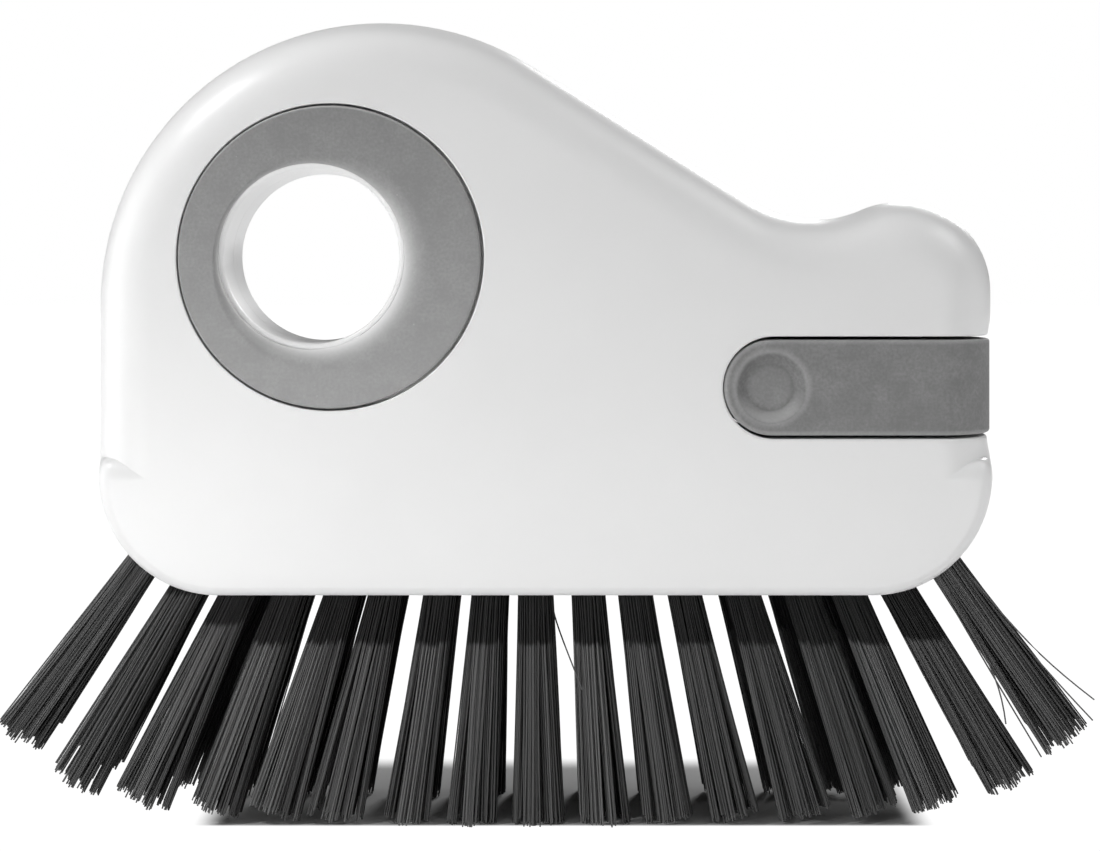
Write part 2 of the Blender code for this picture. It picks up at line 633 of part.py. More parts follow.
finish(make_shell(FRONT), "front_shell", white_plastic)
finish(make_shell(BACK), "back_shell", white_plastic)
finish(make_ring_grip(FRONT), "front_ring_grip", grey_rubber)
finish(make_ring_grip(BACK), "back_ring_grip", grey_rubber)
finish(make_bristle_block(), "bristle_block", dark_plastic)
for row_name, row_side in (("front", FRONT), ("back", BACK)):
    for place_in_row, tuft_number in enumerate(tuft_numbers(), start=1):
        finish(make_tuft(tuft_number, row_side), f"{row_name}_tuft_{place_in_row:02d}", dark_filament)
tool_grip = finish(make_tool_grip(), "tool_grip", grey_rubber)
tool_blade = finish(make_object("blade", blade_solid(0.0)), "tool_blade", pale_plastic)

# The tool slides along +X, so its pieces hang on one empty on the slide's axis
tool_slide = bpy.data.objects.new("tool_slide", None)
tool_slide.location = (TOOL_X, 0.0, TOOL_Z)
bpy.context.scene.collection.objects.link(tool_slide)
for tool_piece in (tool_grip, tool_blade):
    tool_piece.parent = tool_slide
    tool_piece.matrix_parent_inverse.translation = (-TOOL_X, 0.0, -TOOL_Z)
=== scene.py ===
import random
from math import acos, asin, atan2, cos, pi, radians, sin, sqrt

import bmesh
import bpy
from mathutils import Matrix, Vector


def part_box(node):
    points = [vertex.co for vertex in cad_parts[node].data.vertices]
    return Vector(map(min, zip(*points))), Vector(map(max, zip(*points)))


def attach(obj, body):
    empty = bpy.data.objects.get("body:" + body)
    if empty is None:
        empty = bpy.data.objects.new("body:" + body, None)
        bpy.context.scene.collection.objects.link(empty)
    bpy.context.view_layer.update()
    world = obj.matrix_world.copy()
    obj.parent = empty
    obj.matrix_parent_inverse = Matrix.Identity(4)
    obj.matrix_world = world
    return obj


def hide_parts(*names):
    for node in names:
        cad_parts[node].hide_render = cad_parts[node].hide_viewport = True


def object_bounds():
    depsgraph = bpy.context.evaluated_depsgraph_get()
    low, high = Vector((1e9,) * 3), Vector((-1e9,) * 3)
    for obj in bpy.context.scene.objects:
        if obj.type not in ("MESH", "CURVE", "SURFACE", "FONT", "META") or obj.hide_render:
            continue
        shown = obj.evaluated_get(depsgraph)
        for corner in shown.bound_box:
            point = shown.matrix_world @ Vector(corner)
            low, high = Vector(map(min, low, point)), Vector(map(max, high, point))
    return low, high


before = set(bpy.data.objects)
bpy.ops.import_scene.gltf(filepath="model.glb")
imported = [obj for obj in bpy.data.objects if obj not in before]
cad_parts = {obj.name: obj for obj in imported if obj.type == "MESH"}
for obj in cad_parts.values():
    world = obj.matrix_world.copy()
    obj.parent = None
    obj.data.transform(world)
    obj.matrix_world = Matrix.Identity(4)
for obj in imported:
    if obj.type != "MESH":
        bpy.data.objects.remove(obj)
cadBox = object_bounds()

mm = 0.001
front = -1
back = 1

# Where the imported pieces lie
shellLow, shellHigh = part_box("front_shell")
ringLow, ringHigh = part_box("front_ring_grip")
gripLow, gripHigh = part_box("tool_grip")
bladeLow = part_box("tool_blade")[0]
halfWidth = shellHigh.x
halfDepth = -shellLow.y
footBottom = shellLow.z
bodyTop = shellHigh.z
ringX = 0.5 * (ringLow.x + ringHigh.x)
ringZ = 0.5 * (ringLow.z + ringHigh.z)
ringRadius = 0.5 * (ringHigh.x - ringLow.x)
ringBackDepth = -ringHigh.y
toolZ = 0.5 * (gripLow.z + gripHigh.z)
toolHalfHeight = 0.5 * (gripHigh.z - gripLow.z)
toolX = gripLow.x + toolHalfHeight

# The camera stands where the photograph was taken from: pixels of its 1100 x 851 frame
photo = {
    "width": 1100,
    "height": 851,
    "focalPixels": 1690,
    "axisPixel": (547, 271),
    "eye": (0.25 * mm, -283 * mm, 89.8 * mm),
    "sensorWidth": 36.0,
    "nearest": 10 * mm,           # what the camera sees, from here
    "farthest": 20.0,             # to here
}


def setCamera():
    camera = bpy.data.cameras.new("camera")
    camera.sensor_width = photo["sensorWidth"]
    camera.lens = photo["sensorWidth"] * photo["focalPixels"] / photo["width"]
    axisX, axisY = photo["axisPixel"]
    camera.shift_x = (0.5 * photo["width"] - axisX) / photo["width"]
    camera.shift_y = (axisY - 0.5 * photo["height"]) / photo["width"]
    camera.clip_start = photo["nearest"]
    camera.clip_end = photo["farthest"]
    holder = bpy.data.objects.new("camera", camera)
    holder.location = photo["eye"]
    holder.rotation_euler = (0.5 * pi, 0.0, 0.0)
    bpy.context.scene.collection.objects.link(holder)
    bpy.context.scene.camera = holder


setCamera()
print("camera set")


# Mesh helpers
def at(x, z, depth, side):
    return Vector((x, side * depth, z))


def ringSolid(rings, closed=False):
    # Rings of equal point counts become one closed skin, capped at both ends or joined end to start
    mesh = bmesh.new()
    loops = [[mesh.verts.new(point) for point in ring] for ring in rings]
    pairs = list(zip(loops, loops[1:]))
    if closed:
        pairs.append((loops[-1], loops[0]))
    else:
        mesh.faces.new(loops[0])
        mesh.faces.new(loops[-1])
    for first, second in pairs:
        for index in range(len(first)):
            following = (index + 1) % len(first)
            mesh.faces.new((first[index], first[following], second[following], second[index]))
    bmesh.ops.recalc_face_normals(mesh, faces=mesh.faces)
    return mesh


def prism(outline, near, far, side):
    # An outline of (x, z) points, pulled through the depth
    return ringSolid([[at(x, z, depth, side) for x, z in outline] for depth in (near, far)])


def circle(x, z, radius, segments):
    return [(x + radius * cos(2 * pi * step / segments), z + radius * sin(2 * pi * step / segments))
            for step in range(segments)]


def rectangle(xLow, xHigh, zLow, zHigh):
    return [(xLow, zLow), (xHigh, zLow), (xHigh, zHigh), (xLow, zHigh)]


def arc(x, z, radius, start, end, stepAngle):
    # Points with their outward directions, as (x, z, direction x, direction z)
    steps = max(2, round(abs(end - start) / stepAngle))
    angles = [start + (end - start) * step / steps for step in range(steps + 1)]
    return [(x + radius * cos(angle), z + radius * sin(angle), cos(angle), sin(angle)) for angle in angles]


def spread(low, high, steps):
    return [low + (high - low) * step / steps for step in range(steps + 1)]


def smoothStep(value):
    value = min(max(value, 0.0), 1.0)
    return value * value * (3 - 2 * value)


def makeObject(name, mesh):
    data = bpy.data.meshes.new(name)
    mesh.to_mesh(data)
    mesh.free()
    piece = bpy.data.objects.new(name, data)
    bpy.context.scene.collection.objects.link(piece)
    return piece


def combine(piece, solid, operation="DIFFERENCE"):
    # Cuts, joins or intersects the piece with a second solid, which is then removed
    cutter = makeObject("cutter", solid)
    modifier = piece.modifiers.new("cut", "BOOLEAN")
    modifier.operation = operation
    modifier.object = cutter
    evaluated = piece.evaluated_get(bpy.context.evaluated_depsgraph_get())
    result = bpy.data.meshes.new_from_object(evaluated)
    piece.modifiers.remove(modifier)
    plain = piece.data
    piece.data = result
    bpy.data.meshes.remove(plain)
    bpy.data.objects.remove(cutter, do_unlink=True)


def lathe(x, z, profile, side, segments, closed=False):
    # Rings of (radius, depth) round the axis through (x, z)
    return ringSolid([[at(px, pz, depth, side) for px, pz in circle(x, z, radius, segments)]
                      for radius, depth in profile], closed)


rimCut = {
    "angles": (10, 33, 57, 80),   # places along the quarter ellipse, in degrees
    "margin": 0.3,                # how far the cut passes the two surfaces, as a share of its depth
    "lift": 3,                    # how far the cutter stands out, the same way
}


def softenRim(piece, rim, across, deep, closed):
    # Rounds a sharp corner to a quarter ellipse. rim holds (point, direction into the solid, face normal).
    # The arc stops short of both surfaces, so the cut crosses each of them at a clear angle
    turns = [radians(angle) for angle in rimCut["angles"]]
    bend = [Vector((across * (1 - cos(turn)), deep * (sin(turn) - 1))) for turn in turns]
    margin = rimCut["margin"] * deep
    first = bend[0] - bend[1]
    last = bend[3] - bend[2]
    foot = bend[0] + first * ((bend[0].x + margin) / -first.x)
    top = bend[3] + last * ((margin - bend[3].y) / last.y)
    lift = rimCut["lift"] * deep
    section = [foot, *bend, top, Vector((top.x, lift)), Vector((-margin, lift))]
    rings = [[point + inward * step.x + normal * step.y for step in section]
             for point, inward, normal in rim]
    combine(piece, ringSolid(rings, closed))


def dress(piece, name, material, body, nodes, sharpAngle=30):
    # Names the piece, shades it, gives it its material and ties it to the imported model
    piece.name = name
    piece.data.name = name
    piece.data.materials.clear()
    piece.data.materials.append(material)
    piece.data.shade_smooth()
    piece.data.set_sharp_from_angle(angle=radians(sharpAngle))
    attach(piece, body)
    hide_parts(*nodes)
    return piece


# Materials
def hexColour(text):
    # sRGB hex, turned to linear
    parts = [int(text[place:place + 2], 16) / 255 for place in (1, 3, 5)]
    linear = [part / 12.92 if part <= 0.04045 else ((part + 0.055) / 1.055) ** 2.4 for part in parts]
    return (*linear, 1.0)


def asSocket(source):
    # A node stands for its first output
    return source.outputs[0] if isinstance(source, bpy.types.Node) else source


def addNode(material, kind, settings=None, links=None):
    # One shader node: settings are attributes or input values, links are inputs and what they read
    node = material.node_tree.nodes.new("ShaderNode" + kind)
    for name, value in (settings or {}).items():
        if isinstance(name, int) or name in node.inputs:
            node.inputs[name].default_value = value
        else:
            setattr(node, name, value)
    for name, source in (links or {}).items():
        material.node_tree.links.new(asSocket(source), node.inputs[name])
    return node


def newMaterial(name):
    material = bpy.data.materials.new(name)
    material.use_nodes = True
    return material, material.node_tree.nodes["Principled BSDF"]


def surfaceGrain(material, place, finish):
    # Fine grain of the surface, from the size, height, detail and strength in the finish
    grain = addNode(material, "TexNoise", {
        "Scale": 1 / finish["grainSize"], "Detail": finish["grainDetail"],
    }, {"Vector": place})
    return addNode(material, "Bump", {"Strength": finish["grainBump"], "Distance": finish["grainHeight"]},
                   {"Height": grain})


def finishShader(material, shader, ior, colour, roughness, normal):
    shader.inputs["IOR"].default_value = ior
    for name, source in (("Base Color", colour), ("Roughness", roughness), ("Normal", normal)):
        material.node_tree.links.new(asSocket(source), shader.inputs[name])
    return material


shellPlastic = {
    "colour": "#efefef",
    "shadeColour": "#e8e8e8",
    "ior": 1.53,
    "roughness": (0.32, 0.41),
    "cloudSize": 24 * mm,         # slow change of shade left by the flow of the melt
    "cloudDetail": 2.0,
    "grainSize": 0.35 * mm,       # the mould's fine spark-eroded grain is 0.05 mm: drawn coarser, to show
    "grainHeight": 0.004 * mm,
    "grainDetail": 3.0,
    "grainBump": 0.35,
    "speckColour": "#a8a8a8",
    "speckSpacing": 9 * mm,
    "speckRadius": 0.022,         # as a share of the spacing
    "speckShare": 0.06,
}


def mouldedAbs():
    # Injection-moulded white ABS: a soft satin gloss on the roundings and an even white on the flats
    finish = shellPlastic
    material, shader = newMaterial("moulded white ABS")
    place = addNode(material, "TexCoord").outputs["Object"]
    cloud = addNode(material, "TexNoise", {
        "Scale": 1 / finish["cloudSize"], "Detail": finish["cloudDetail"],
    }, {"Vector": place})
    colour = addNode(material, "Mix", {
        "data_type": "RGBA", 6: hexColour(finish["shadeColour"]), 7: hexColour(finish["colour"]),
    }, {0: cloud})
    # A few tiny dark specks moulded in
    speck = addNode(material, "TexVoronoi", {"Scale": 1 / finish["speckSpacing"]}, {"Vector": place})
    dot = addNode(material, "Math", {"operation": "LESS_THAN", 1: finish["speckRadius"]},
                  {0: speck.outputs["Distance"]})
    pick = addNode(material, "SeparateColor", {}, {0: speck.outputs["Color"]})
    rare = addNode(material, "Math", {"operation": "LESS_THAN", 1: finish["speckShare"]}, {0: pick})
    mask = addNode(material, "Math", {"operation": "MULTIPLY"}, {0: dot, 1: rare})
    speckled = addNode(material, "Mix", {"data_type": "RGBA", 7: hexColour(finish["speckColour"])},
                       {0: mask, 6: colour.outputs[2]})
    low, high = finish["roughness"]
    gloss = addNode(material, "MapRange", {3: low, 4: high}, {0: cloud})
    return finishShader(material, shader, finish["ior"], speckled.outputs[2], gloss,
                        surfaceGrain(material, place, finish))


rubber = {
    "ringColour": "#808080",
    "gripColour": "#6d6d6d",
    "dustColour": "#c9c9c9",
    # the pale colour of wear, dust and painted light
    "wearAndLightColour": "#e6e6e6",
    "ior": 1.50,
    "roughness": (0.55, 0.69),
    "ringWearAndPaintedLight": (0.25, 1.15),     # paler where the roll goes down into the hole, at top and at bottom: wear, and painted light that makes the bottom much paler
    "ringWearDepth": 2.1 * mm,
    "ringWearFade": 1.6,
    "ringPaintedLowerLight": 0.19,          # and painted light: a little paler towards the bottom
    "ringTopLightAndDust": 0.42,             # settled dust and painted light from above, on what faces up
    # the same on the tool's handle
    "gripTopLightAndDust": 0.34,
    "dustAndTopLightFacing": (0.04, 0.7),    # how far a face looks up where that dust and painted light start, and where they are full
    "rimPaintedHighlight": 0.20,              # painted highlight along the rim of the tool's handle
    "rimBand": (1.1 * mm, 0.2 * mm),
    # Painted light and shade in the fingertip hollow, as paleness against the distance from its middle in
    # mm: floor painted lit, wall painted in shade, lip painted highlight, flat
    "hollowPaintedLight": ((0.0, 0.13), (2.8, 0.13), (4.0, 0.02), (5.2, 0.0), (5.9, 0.17), (6.8, 0.05),
                   (9.0, 0.05)),
    "mottleSize": 3.2 * mm,       # dull and less dull patches of the matt mould face
    "mottleDetail": 5.0,
    "mottleRoughness": 0.62,
    "dustSize": 0.5 * mm,         # fine dust that the rubber holds
    "dustDetail": 3.0,
    "dustRange": (0.16, 0.42),    # of the two patterns' product, from no dust to full
    "dustShare": 0.16,
    "fleckSpacing": 2.6 * mm,
    "fleckRadius": (0.035, 0.075),    # as shares of the spacing: solid to here, gone from here
    "fleckRare": 0.55,            # the share of places without a fleck
    "fleckShare": 0.55,
    "grainSize": 0.28 * mm,       # the blasted mould's grain is 0.03 mm: drawn coarser, to show
    "grainHeight": 0.010 * mm,
    "grainDetail": 4.0,
    "grainBump": 0.6,
}


def ringWearAndPaintedLight(material, axes):
    # Wear and painted light: grows with the depth below the ring's flat face, much more towards the bottom
    depth = addNode(material, "Math", {"operation": "ABSOLUTE"}, {0: axes.outputs["Y"]})
    share = addNode(material, "MapRange", {1: halfDepth, 2: halfDepth - rubber["ringWearDepth"]},
                    {0: depth})
    fade = addNode(material, "Math", {"operation": "POWER", 1: rubber["ringWearFade"]}, {0: share})
    # Painted light: the lower part of the ring is painted paler
    lowness = addNode(material, "MapRange", {1: ringZ + ringRadius, 2: ringZ - ringRadius},
                      {0: axes.outputs["Z"]})
    wearTop, wearBottom = rubber["ringWearAndPaintedLight"]
    amount = addNode(material, "Math", {"operation": "MULTIPLY_ADD", 1: wearBottom - wearTop, 2: wearTop},
                     {0: lowness})
    rubbed = addNode(material, "Math", {"operation": "MULTIPLY"}, {0: fade, 1: amount})
    return addNode(material, "Math", {"operation": "MULTIPLY_ADD", 1: rubber["ringPaintedLowerLight"]},
                   {0: lowness, 2: rubbed})


def gripPaintedLight(material, axes):
    # Painted highlight along the handle's outline, a slot with a round left end, and painted light and
    # shade round the fingertip hollow
    past = addNode(material, "Math", {"operation": "SUBTRACT", 1: toolX}, {0: axes.outputs["X"]})
    left = addNode(material, "Math", {"operation": "MINIMUM", 1: 0.0}, {0: past})
    up = addNode(material, "Math", {"operation": "SUBTRACT", 1: toolZ}, {0: axes.outputs["Z"]})
    reaches = []
    for sideways in (left, past):
        across = addNode(material, "CombineXYZ", {}, {"X": sideways, "Z": up})
        length = addNode(material, "VectorMath", {"operation": "LENGTH"}, {0: across})
        reaches.append(length.outputs["Value"])
    bandStart, bandEnd = rubber["rimBand"]
    rim = addNode(material, "MapRange", {
        "interpolation_type": "SMOOTHSTEP", 1: toolHalfHeight - bandStart, 2: toolHalfHeight - bandEnd,
        3: 0.0, 4: rubber["rimPaintedHighlight"],
    }, {0: reaches[0]})
    stops = rubber["hollowPaintedLight"]
    farthest = stops[-1][0]
    share = addNode(material, "MapRange", {1: 0.0, 2: farthest * mm}, {0: reaches[1]})
    ramp = addNode(material, "ValToRGB", {}, {0: share})
    ramp.color_ramp.interpolation = "EASE"
    for _ in stops[2:]:
        ramp.color_ramp.elements.new(1.0)
    for element, (place, paleness) in zip(ramp.color_ramp.elements, stops):
        element.position = place / farthest
        element.color = (paleness, paleness, paleness, 1.0)
    return addNode(material, "Math", {"operation": "MAXIMUM"}, {0: rim, 1: ramp})


def mouldedRubber(name, colour, wearAndPaintedLight, dustAndTopLightShare):
    # Overmoulded thermoplastic rubber: matt and a little dusty, paler with wear and painted light where the
    # given mask puts them, and on what faces up, as dust and painted light from above
    finish = rubber
    material, shader = newMaterial(name)
    coordinates = addNode(material, "TexCoord")
    place = coordinates.outputs["Object"]
    mottle = addNode(material, "TexNoise", {
        "Scale": 1 / finish["mottleSize"], "Detail": finish["mottleDetail"],
        "Roughness": finish["mottleRoughness"],
    }, {"Vector": place})
    dust = addNode(material, "TexNoise", {
        "Scale": 1 / finish["dustSize"], "Detail": finish["dustDetail"],
    }, {"Vector": place})
    dusty = addNode(material, "Math", {"operation": "MULTIPLY"}, {0: mottle, 1: dust})
    low, high = finish["dustRange"]
    dustShare = addNode(material, "MapRange", {1: low, 2: high, 3: 0.0, 4: finish["dustShare"]}, {0: dusty})
    coloured = addNode(material, "Mix", {
        "data_type": "RGBA", 6: hexColour(colour), 7: hexColour(finish["dustColour"]),
    }, {0: dustShare})
    axes = addNode(material, "SeparateXYZ", {}, {"Vector": place})
    # Settled dust and painted light from above: paler where a face looks up
    facing = addNode(material, "SeparateXYZ", {}, {"Vector": coordinates.outputs["Normal"]})
    low, high = finish["dustAndTopLightFacing"]
    dustAndTopLight = addNode(material, "MapRange", {1: low, 2: high, 3: 0.0, 4: dustAndTopLightShare},
                      {0: facing.outputs["Z"]})
    paler = addNode(material, "Math", {"operation": "MAXIMUM"}, {0: wearAndPaintedLight(material, axes), 1: dustAndTopLight})
    wornAndLit = addNode(material, "Mix", {"data_type": "RGBA", 7: hexColour(finish["wearAndLightColour"])},
                   {0: paler, 6: coloured.outputs[2]})
    # Pale flecks of lint, a few to the square centimetre
    fleck = addNode(material, "TexVoronoi", {"Scale": 1 / finish["fleckSpacing"]}, {"Vector": place})
    low, high = finish["fleckRadius"]
    dot = addNode(material, "MapRange", {1: low, 2: high, 3: 1.0, 4: 0.0}, {0: fleck.outputs["Distance"]})
    pick = addNode(material, "SeparateColor", {}, {0: fleck.outputs["Color"]})
    rare = addNode(material, "MapRange", {1: finish["fleckRare"], 2: 1.0, 3: 0.0, 4: finish["fleckShare"]},
                   {0: pick})
    mask = addNode(material, "Math", {"operation": "MULTIPLY"}, {0: dot, 1: rare})
    flecked = addNode(material, "Mix", {"data_type": "RGBA", 7: hexColour(finish["dustColour"])},
                      {0: mask, 6: wornAndLit.outputs[2]})
    low, high = finish["roughness"]
    gloss = addNode(material, "MapRange", {3: low, 4: high}, {0: mottle})
    return finishShader(material, shader, finish["ior"], flecked.outputs[2], gloss,
                        surfaceGrain(material, place, finish))


filament = {
    "darkColour": "#080808",
    "paleColour": "#656565",      # the colour of strands in painted light
    "ior": 1.53,
    "roughness": (0.40, 0.56),
    "gloss": 0.22,
    "paintedShadowEdge": 0.45,            # half the height in mm over which the painted shadow at the root turns to painted lit strand
    # the share of the strands' shade left in the painted shadow at the root
    "rootShare": 0.07,
    "grainSize": 0.10 * mm,       # die lines of the drawn filament
    "grainHeight": 0.004 * mm,
    "grainDetail": 1.0,
    "grainBump": 0.07,
}


def drawnNylon():
    # Drawn black nylon filament, painted grey as if lit from the tips up to the edge of a painted shadow of
    # the body at the roots, most where a tuft faces outwards and left
    material, shader = newMaterial("drawn black nylon")
    place = addNode(material, "TexCoord").outputs["Object"]
    below = addNode(material, "Attribute", {"attribute_name": "belowPaintedShadow"}).outputs["Fac"]
    # each strand's random tone times its painted light and shade
    strand = addNode(material, "Attribute", {"attribute_name": "strandShade"}).outputs["Fac"]
    # Painted shadow of the body over the roots: the strands are dark above its edge and painted lit below
    # it
    paintedLight = addNode(material, "MapRange", {
        "interpolation_type": "SMOOTHSTEP", 1: -filament["paintedShadowEdge"], 2: filament["paintedShadowEdge"],
        3: filament["rootShare"], 4: 1.0,
    }, {0: below})
    shade = addNode(material, "Math", {"operation": "MULTIPLY"}, {0: paintedLight, 1: strand})
    colour = addNode(material, "Mix", {
        "data_type": "RGBA", 6: hexColour(filament["darkColour"]), 7: hexColour(filament["paleColour"]),
    }, {0: shade})
    low, high = filament["roughness"]
    gloss = addNode(material, "MapRange", {3: low, 4: high}, {0: strand})
    shader.inputs["Specular IOR Level"].default_value = filament["gloss"]
    return finishShader(material, shader, filament["ior"], colour.outputs[2], gloss,
                        surfaceGrain(material, place, filament))


polypropylene = {
    "ior": 1.49,
    "cloudSize": 6 * mm,
    "cloudDetail": 3.0,
    "grainSize": 0.3 * mm,        # the mould's grain is 0.05 mm: drawn coarser, to show
    "grainHeight": 0.006 * mm,
    "grainDetail": 3.0,
    "grainBump": 0.4,
    "blockColours": ("#242424", "#2e2e2e"),
    "blockRoughness": (0.45, 0.56),
    "bladeColours": ("#c4c4c4", "#d2d2d2"),
    "bladeRoughness": (0.35, 0.46),
}


def mouldedPolypropylene(name, colours, roughness):
    # Moulded polypropylene: a slightly waxy, even surface with faint flow clouds
    finish = polypropylene
    material, shader = newMaterial(name)
    place = addNode(material, "TexCoord").outputs["Object"]
    cloud = addNode(material, "TexNoise", {
        "Scale": 1 / finish["cloudSize"], "Detail": finish["cloudDetail"],
    }, {"Vector": place})
    colour = addNode(material, "Mix", {
        "data_type": "RGBA", 6: hexColour(colours[0]), 7: hexColour(colours[1]),
    }, {0: cloud})
    gloss = addNode(material, "MapRange", {3: roughness[0], 4: roughness[1]}, {0: cloud})
    return finishShader(material, shader, finish["ior"], colour.outputs[2], gloss,
                        surfaceGrain(material, place, finish))


whiteAbs = mouldedAbs()
ringRubber = mouldedRubber("moulded grey rubber, ring", rubber["ringColour"], ringWearAndPaintedLight, rubber["ringTopLightAndDust"])
gripRubber = mouldedRubber("moulded grey rubber, tool", rubber["gripColour"], gripPaintedLight, rubber["gripTopLightAndDust"])
blackNylon = drawnNylon()
blockPlastic = mouldedPolypropylene("moulded dark polypropylene", polypropylene["blockColours"],
                                    polypropylene["blockRoughness"])
bladePlastic = mouldedPolypropylene("moulded pale polypropylene", polypropylene["bladeColours"],
                                    polypropylene["bladeRoughness"])
print("materials made")

# Shells
shell = {
    "ringEndRadius": 46.75 * mm,
    "slopeAngle": radians(31.6),
    "saddleRadius": 20.0 * mm,
    "bumpRadius": 14.8 * mm,
    "bumpHeight": 64.05 * mm,
    "footCornerRadius": 19.3 * mm,
    "footSwell": 2.2 * mm,        # the foot is this much wider at the parting plane than at the faces
    "footEdgeRadius": 1.6 * mm,
    "leastEdge": 0.2 * mm,        # and no smaller than this inside
    "levelSteps": (6, 4, 9),      # through the depth: up the foot's side, round its edge, on to the face
    "faceReach": 0.5 * mm,        # the last level lies this far in on the face, past the rounding
    "shoulderRise": 3.4 * mm,     # the foot's rounded top, which meets the upper body in a crease
    "shoulderDepth": 2.6 * mm,
    "shoulderDrop": 0.6 * mm,     # from the middle of the foot's corner arcs down to where that top starts
    "shoulderMargin": 0.3 * mm,   # and from its crease up to where the upper body's outline starts
    "shoulderSteps": 7,
    "shoulderLeast": 0.02 * mm,   # least way in from the foot to the upper body
    "sideLand": 1.0 * mm,         # flat strip on each side of the parting line
    "sideTurn": radians(36),      # the upper rounding turns this far before the foot's edge rounds over
    "sideRow": 1.0 * mm,          # height of a row of points up the right-hand side
    "bumpStep": 1.4,              # steps round the small bump and the large ring end, in given steps
    "ringEndStep": 0.8,
    "wall": 2.0 * mm,
    "rib": 1.6 * mm,
    "gap": 0.3 * mm,
    "partingGap": 0.05 * mm,      # from the parting plane to each shell
    "partingEdge": 0.15 * mm,     # the small chamfer along the parting line
    "partingInset": 0.12 * mm,
    "boreX": -38.0 * mm,
    "boreRadius": 14.25 * mm,
    "lipTopDepth": 9.0 * mm,      # the sleeve ends in a narrow white lip just below the rubber's inner edge
    "lipRadius": 15.05 * mm,
    "lipRound": 0.76 * mm,
    "lipTurn": (radians(15), radians(75)),    # the part of its quarter turn that is cut
    "lipSteps": 4,
    "lipClear": (0.4 * mm, 0.02 * mm),    # the bore's cut goes this much past the lip, just above it
    "sleeveWall": 1.8 * mm,
    "slotGap": 0.55 * mm,
    "slotShift": 0.42 * mm,       # the gap at the round end is that much narrower
    "collarGap": 0.15 * mm,       # a collar in the middle of the slot keeps light out of the gap
    "collarHalfDepth": 4.0 * mm,
    "collarInset": 11.5 * mm,     # and starts this far inside the slot's mouth
    "collarStep": 0.3 * mm,
    "slotRim": 0.42 * mm,
    "slotRimStart": (-0.6 * mm, 0.3 * mm),    # depths at which its cut starts on the body's flat side
    "ringRim": 0.22 * mm,
    "dipAbove": (0.42 * mm, 3.2 * mm),   # the side dips towards the slot: depth, and height that it takes
    "dipBelow": (0.60 * mm, 4.6 * mm),
    "overcut": 1.0 * mm,
}
roundness = {                     # points round each circle
    "recess": 160,
    "ring": 168,
    "bore": 144,
    "dimple": 96,
    "inside": 72,
    "pin": 32,
}
ringSize = {
    "innerRadius": 15.07 * mm,
    "edgeRadius": 0.45 * mm,
    "edgeSteps": 5,
    "faceStart": 1.6,             # the flat face has a first circle of points this many edge radii in
    "rollRadius": 17.7 * mm,
    "rollShift": 2.0 * mm,        # the circle where the roll starts lies right of the bore and below it
    "rollDrop": 1.2 * mm,
    "rollDepth": 2.1 * mm,        # at the lower right, and less where the roll is narrow
    "narrowShare": 0.45,
    "rollSteps": 16,
    "backChamfer": 0.1 * mm,
    "seatDrop": 0.15 * mm,
    "offset": -0.14 * mm,         # it sits a little to the left in its recess
    "seatGap": 0.36 * mm,
}
block = {
    "inset": shell["wall"] + shell["gap"],
    "height": 12.2 * mm,
    "ledgeHalfLength": 60.0 * mm,
    "openingDepth": 8.1 * mm,
    "endTuftInset": 6.1 * mm,
    "tuftRadius": 2.8 * mm,
}
guide = {
    "fromEdge": 12.0 * mm,        # blade's scraping edge to the rib that carries the blade
    "bladeHalfHeight": 4.4 * mm,
    "bladeHalfThickness": 1.4 * mm,
}
pin = {
    "radius": 2.2 * mm,
    "reach": 4.5 * mm,
    "bossWall": 2.0 * mm,
    "sideInset": 13.9 * mm,
    "lowRise": 6.3 * mm,
    "guideShift": 8.0 * mm,
    "slopeShift": 16.0 * mm,
    "slopeRise": 9.3 * mm,
}
edgeRadius = halfDepth - shell["sideLand"]
footHalfWidth = halfWidth - shell["footSwell"]
cornerX = footHalfWidth - shell["footCornerRadius"]
cornerZ = footBottom + shell["footCornerRadius"]
shoulderZ = cornerZ - shell["shoulderDrop"]
shoulderTop = shoulderZ + shell["shoulderRise"] + shell["shoulderMargin"]
bumpTop = footBottom + shell["bumpHeight"]
slotHalfHeight = toolHalfHeight + shell["slotGap"]
recessDepth = ringBackDepth - shell["gap"]
seatZ = ringZ - ringSize["seatDrop"]
cavityDepth = halfDepth - shell["wall"]
ledgeZ = footBottom + block["inset"] + block["height"] + shell["gap"]
guideX = bladeLow.x + guide["fromEdge"]
endTuftX = footHalfWidth - block["endTuftInset"]
fanHalfWidth = cadBox[1][0]
fineArc = radians(3.5)
coarseArc = radians(7.5)
sideSteps = 18


def slotDip(x, z):
    # How far the right-hand side lies in towards the slot's mouth
    if x < 0:
        return 0.0
    deep, reach = shell["dipAbove"] if z > toolZ else shell["dipBelow"]
    distance = abs(z - toolZ) - slotHalfHeight
    return deep * smoothStep(1 - distance / reach)


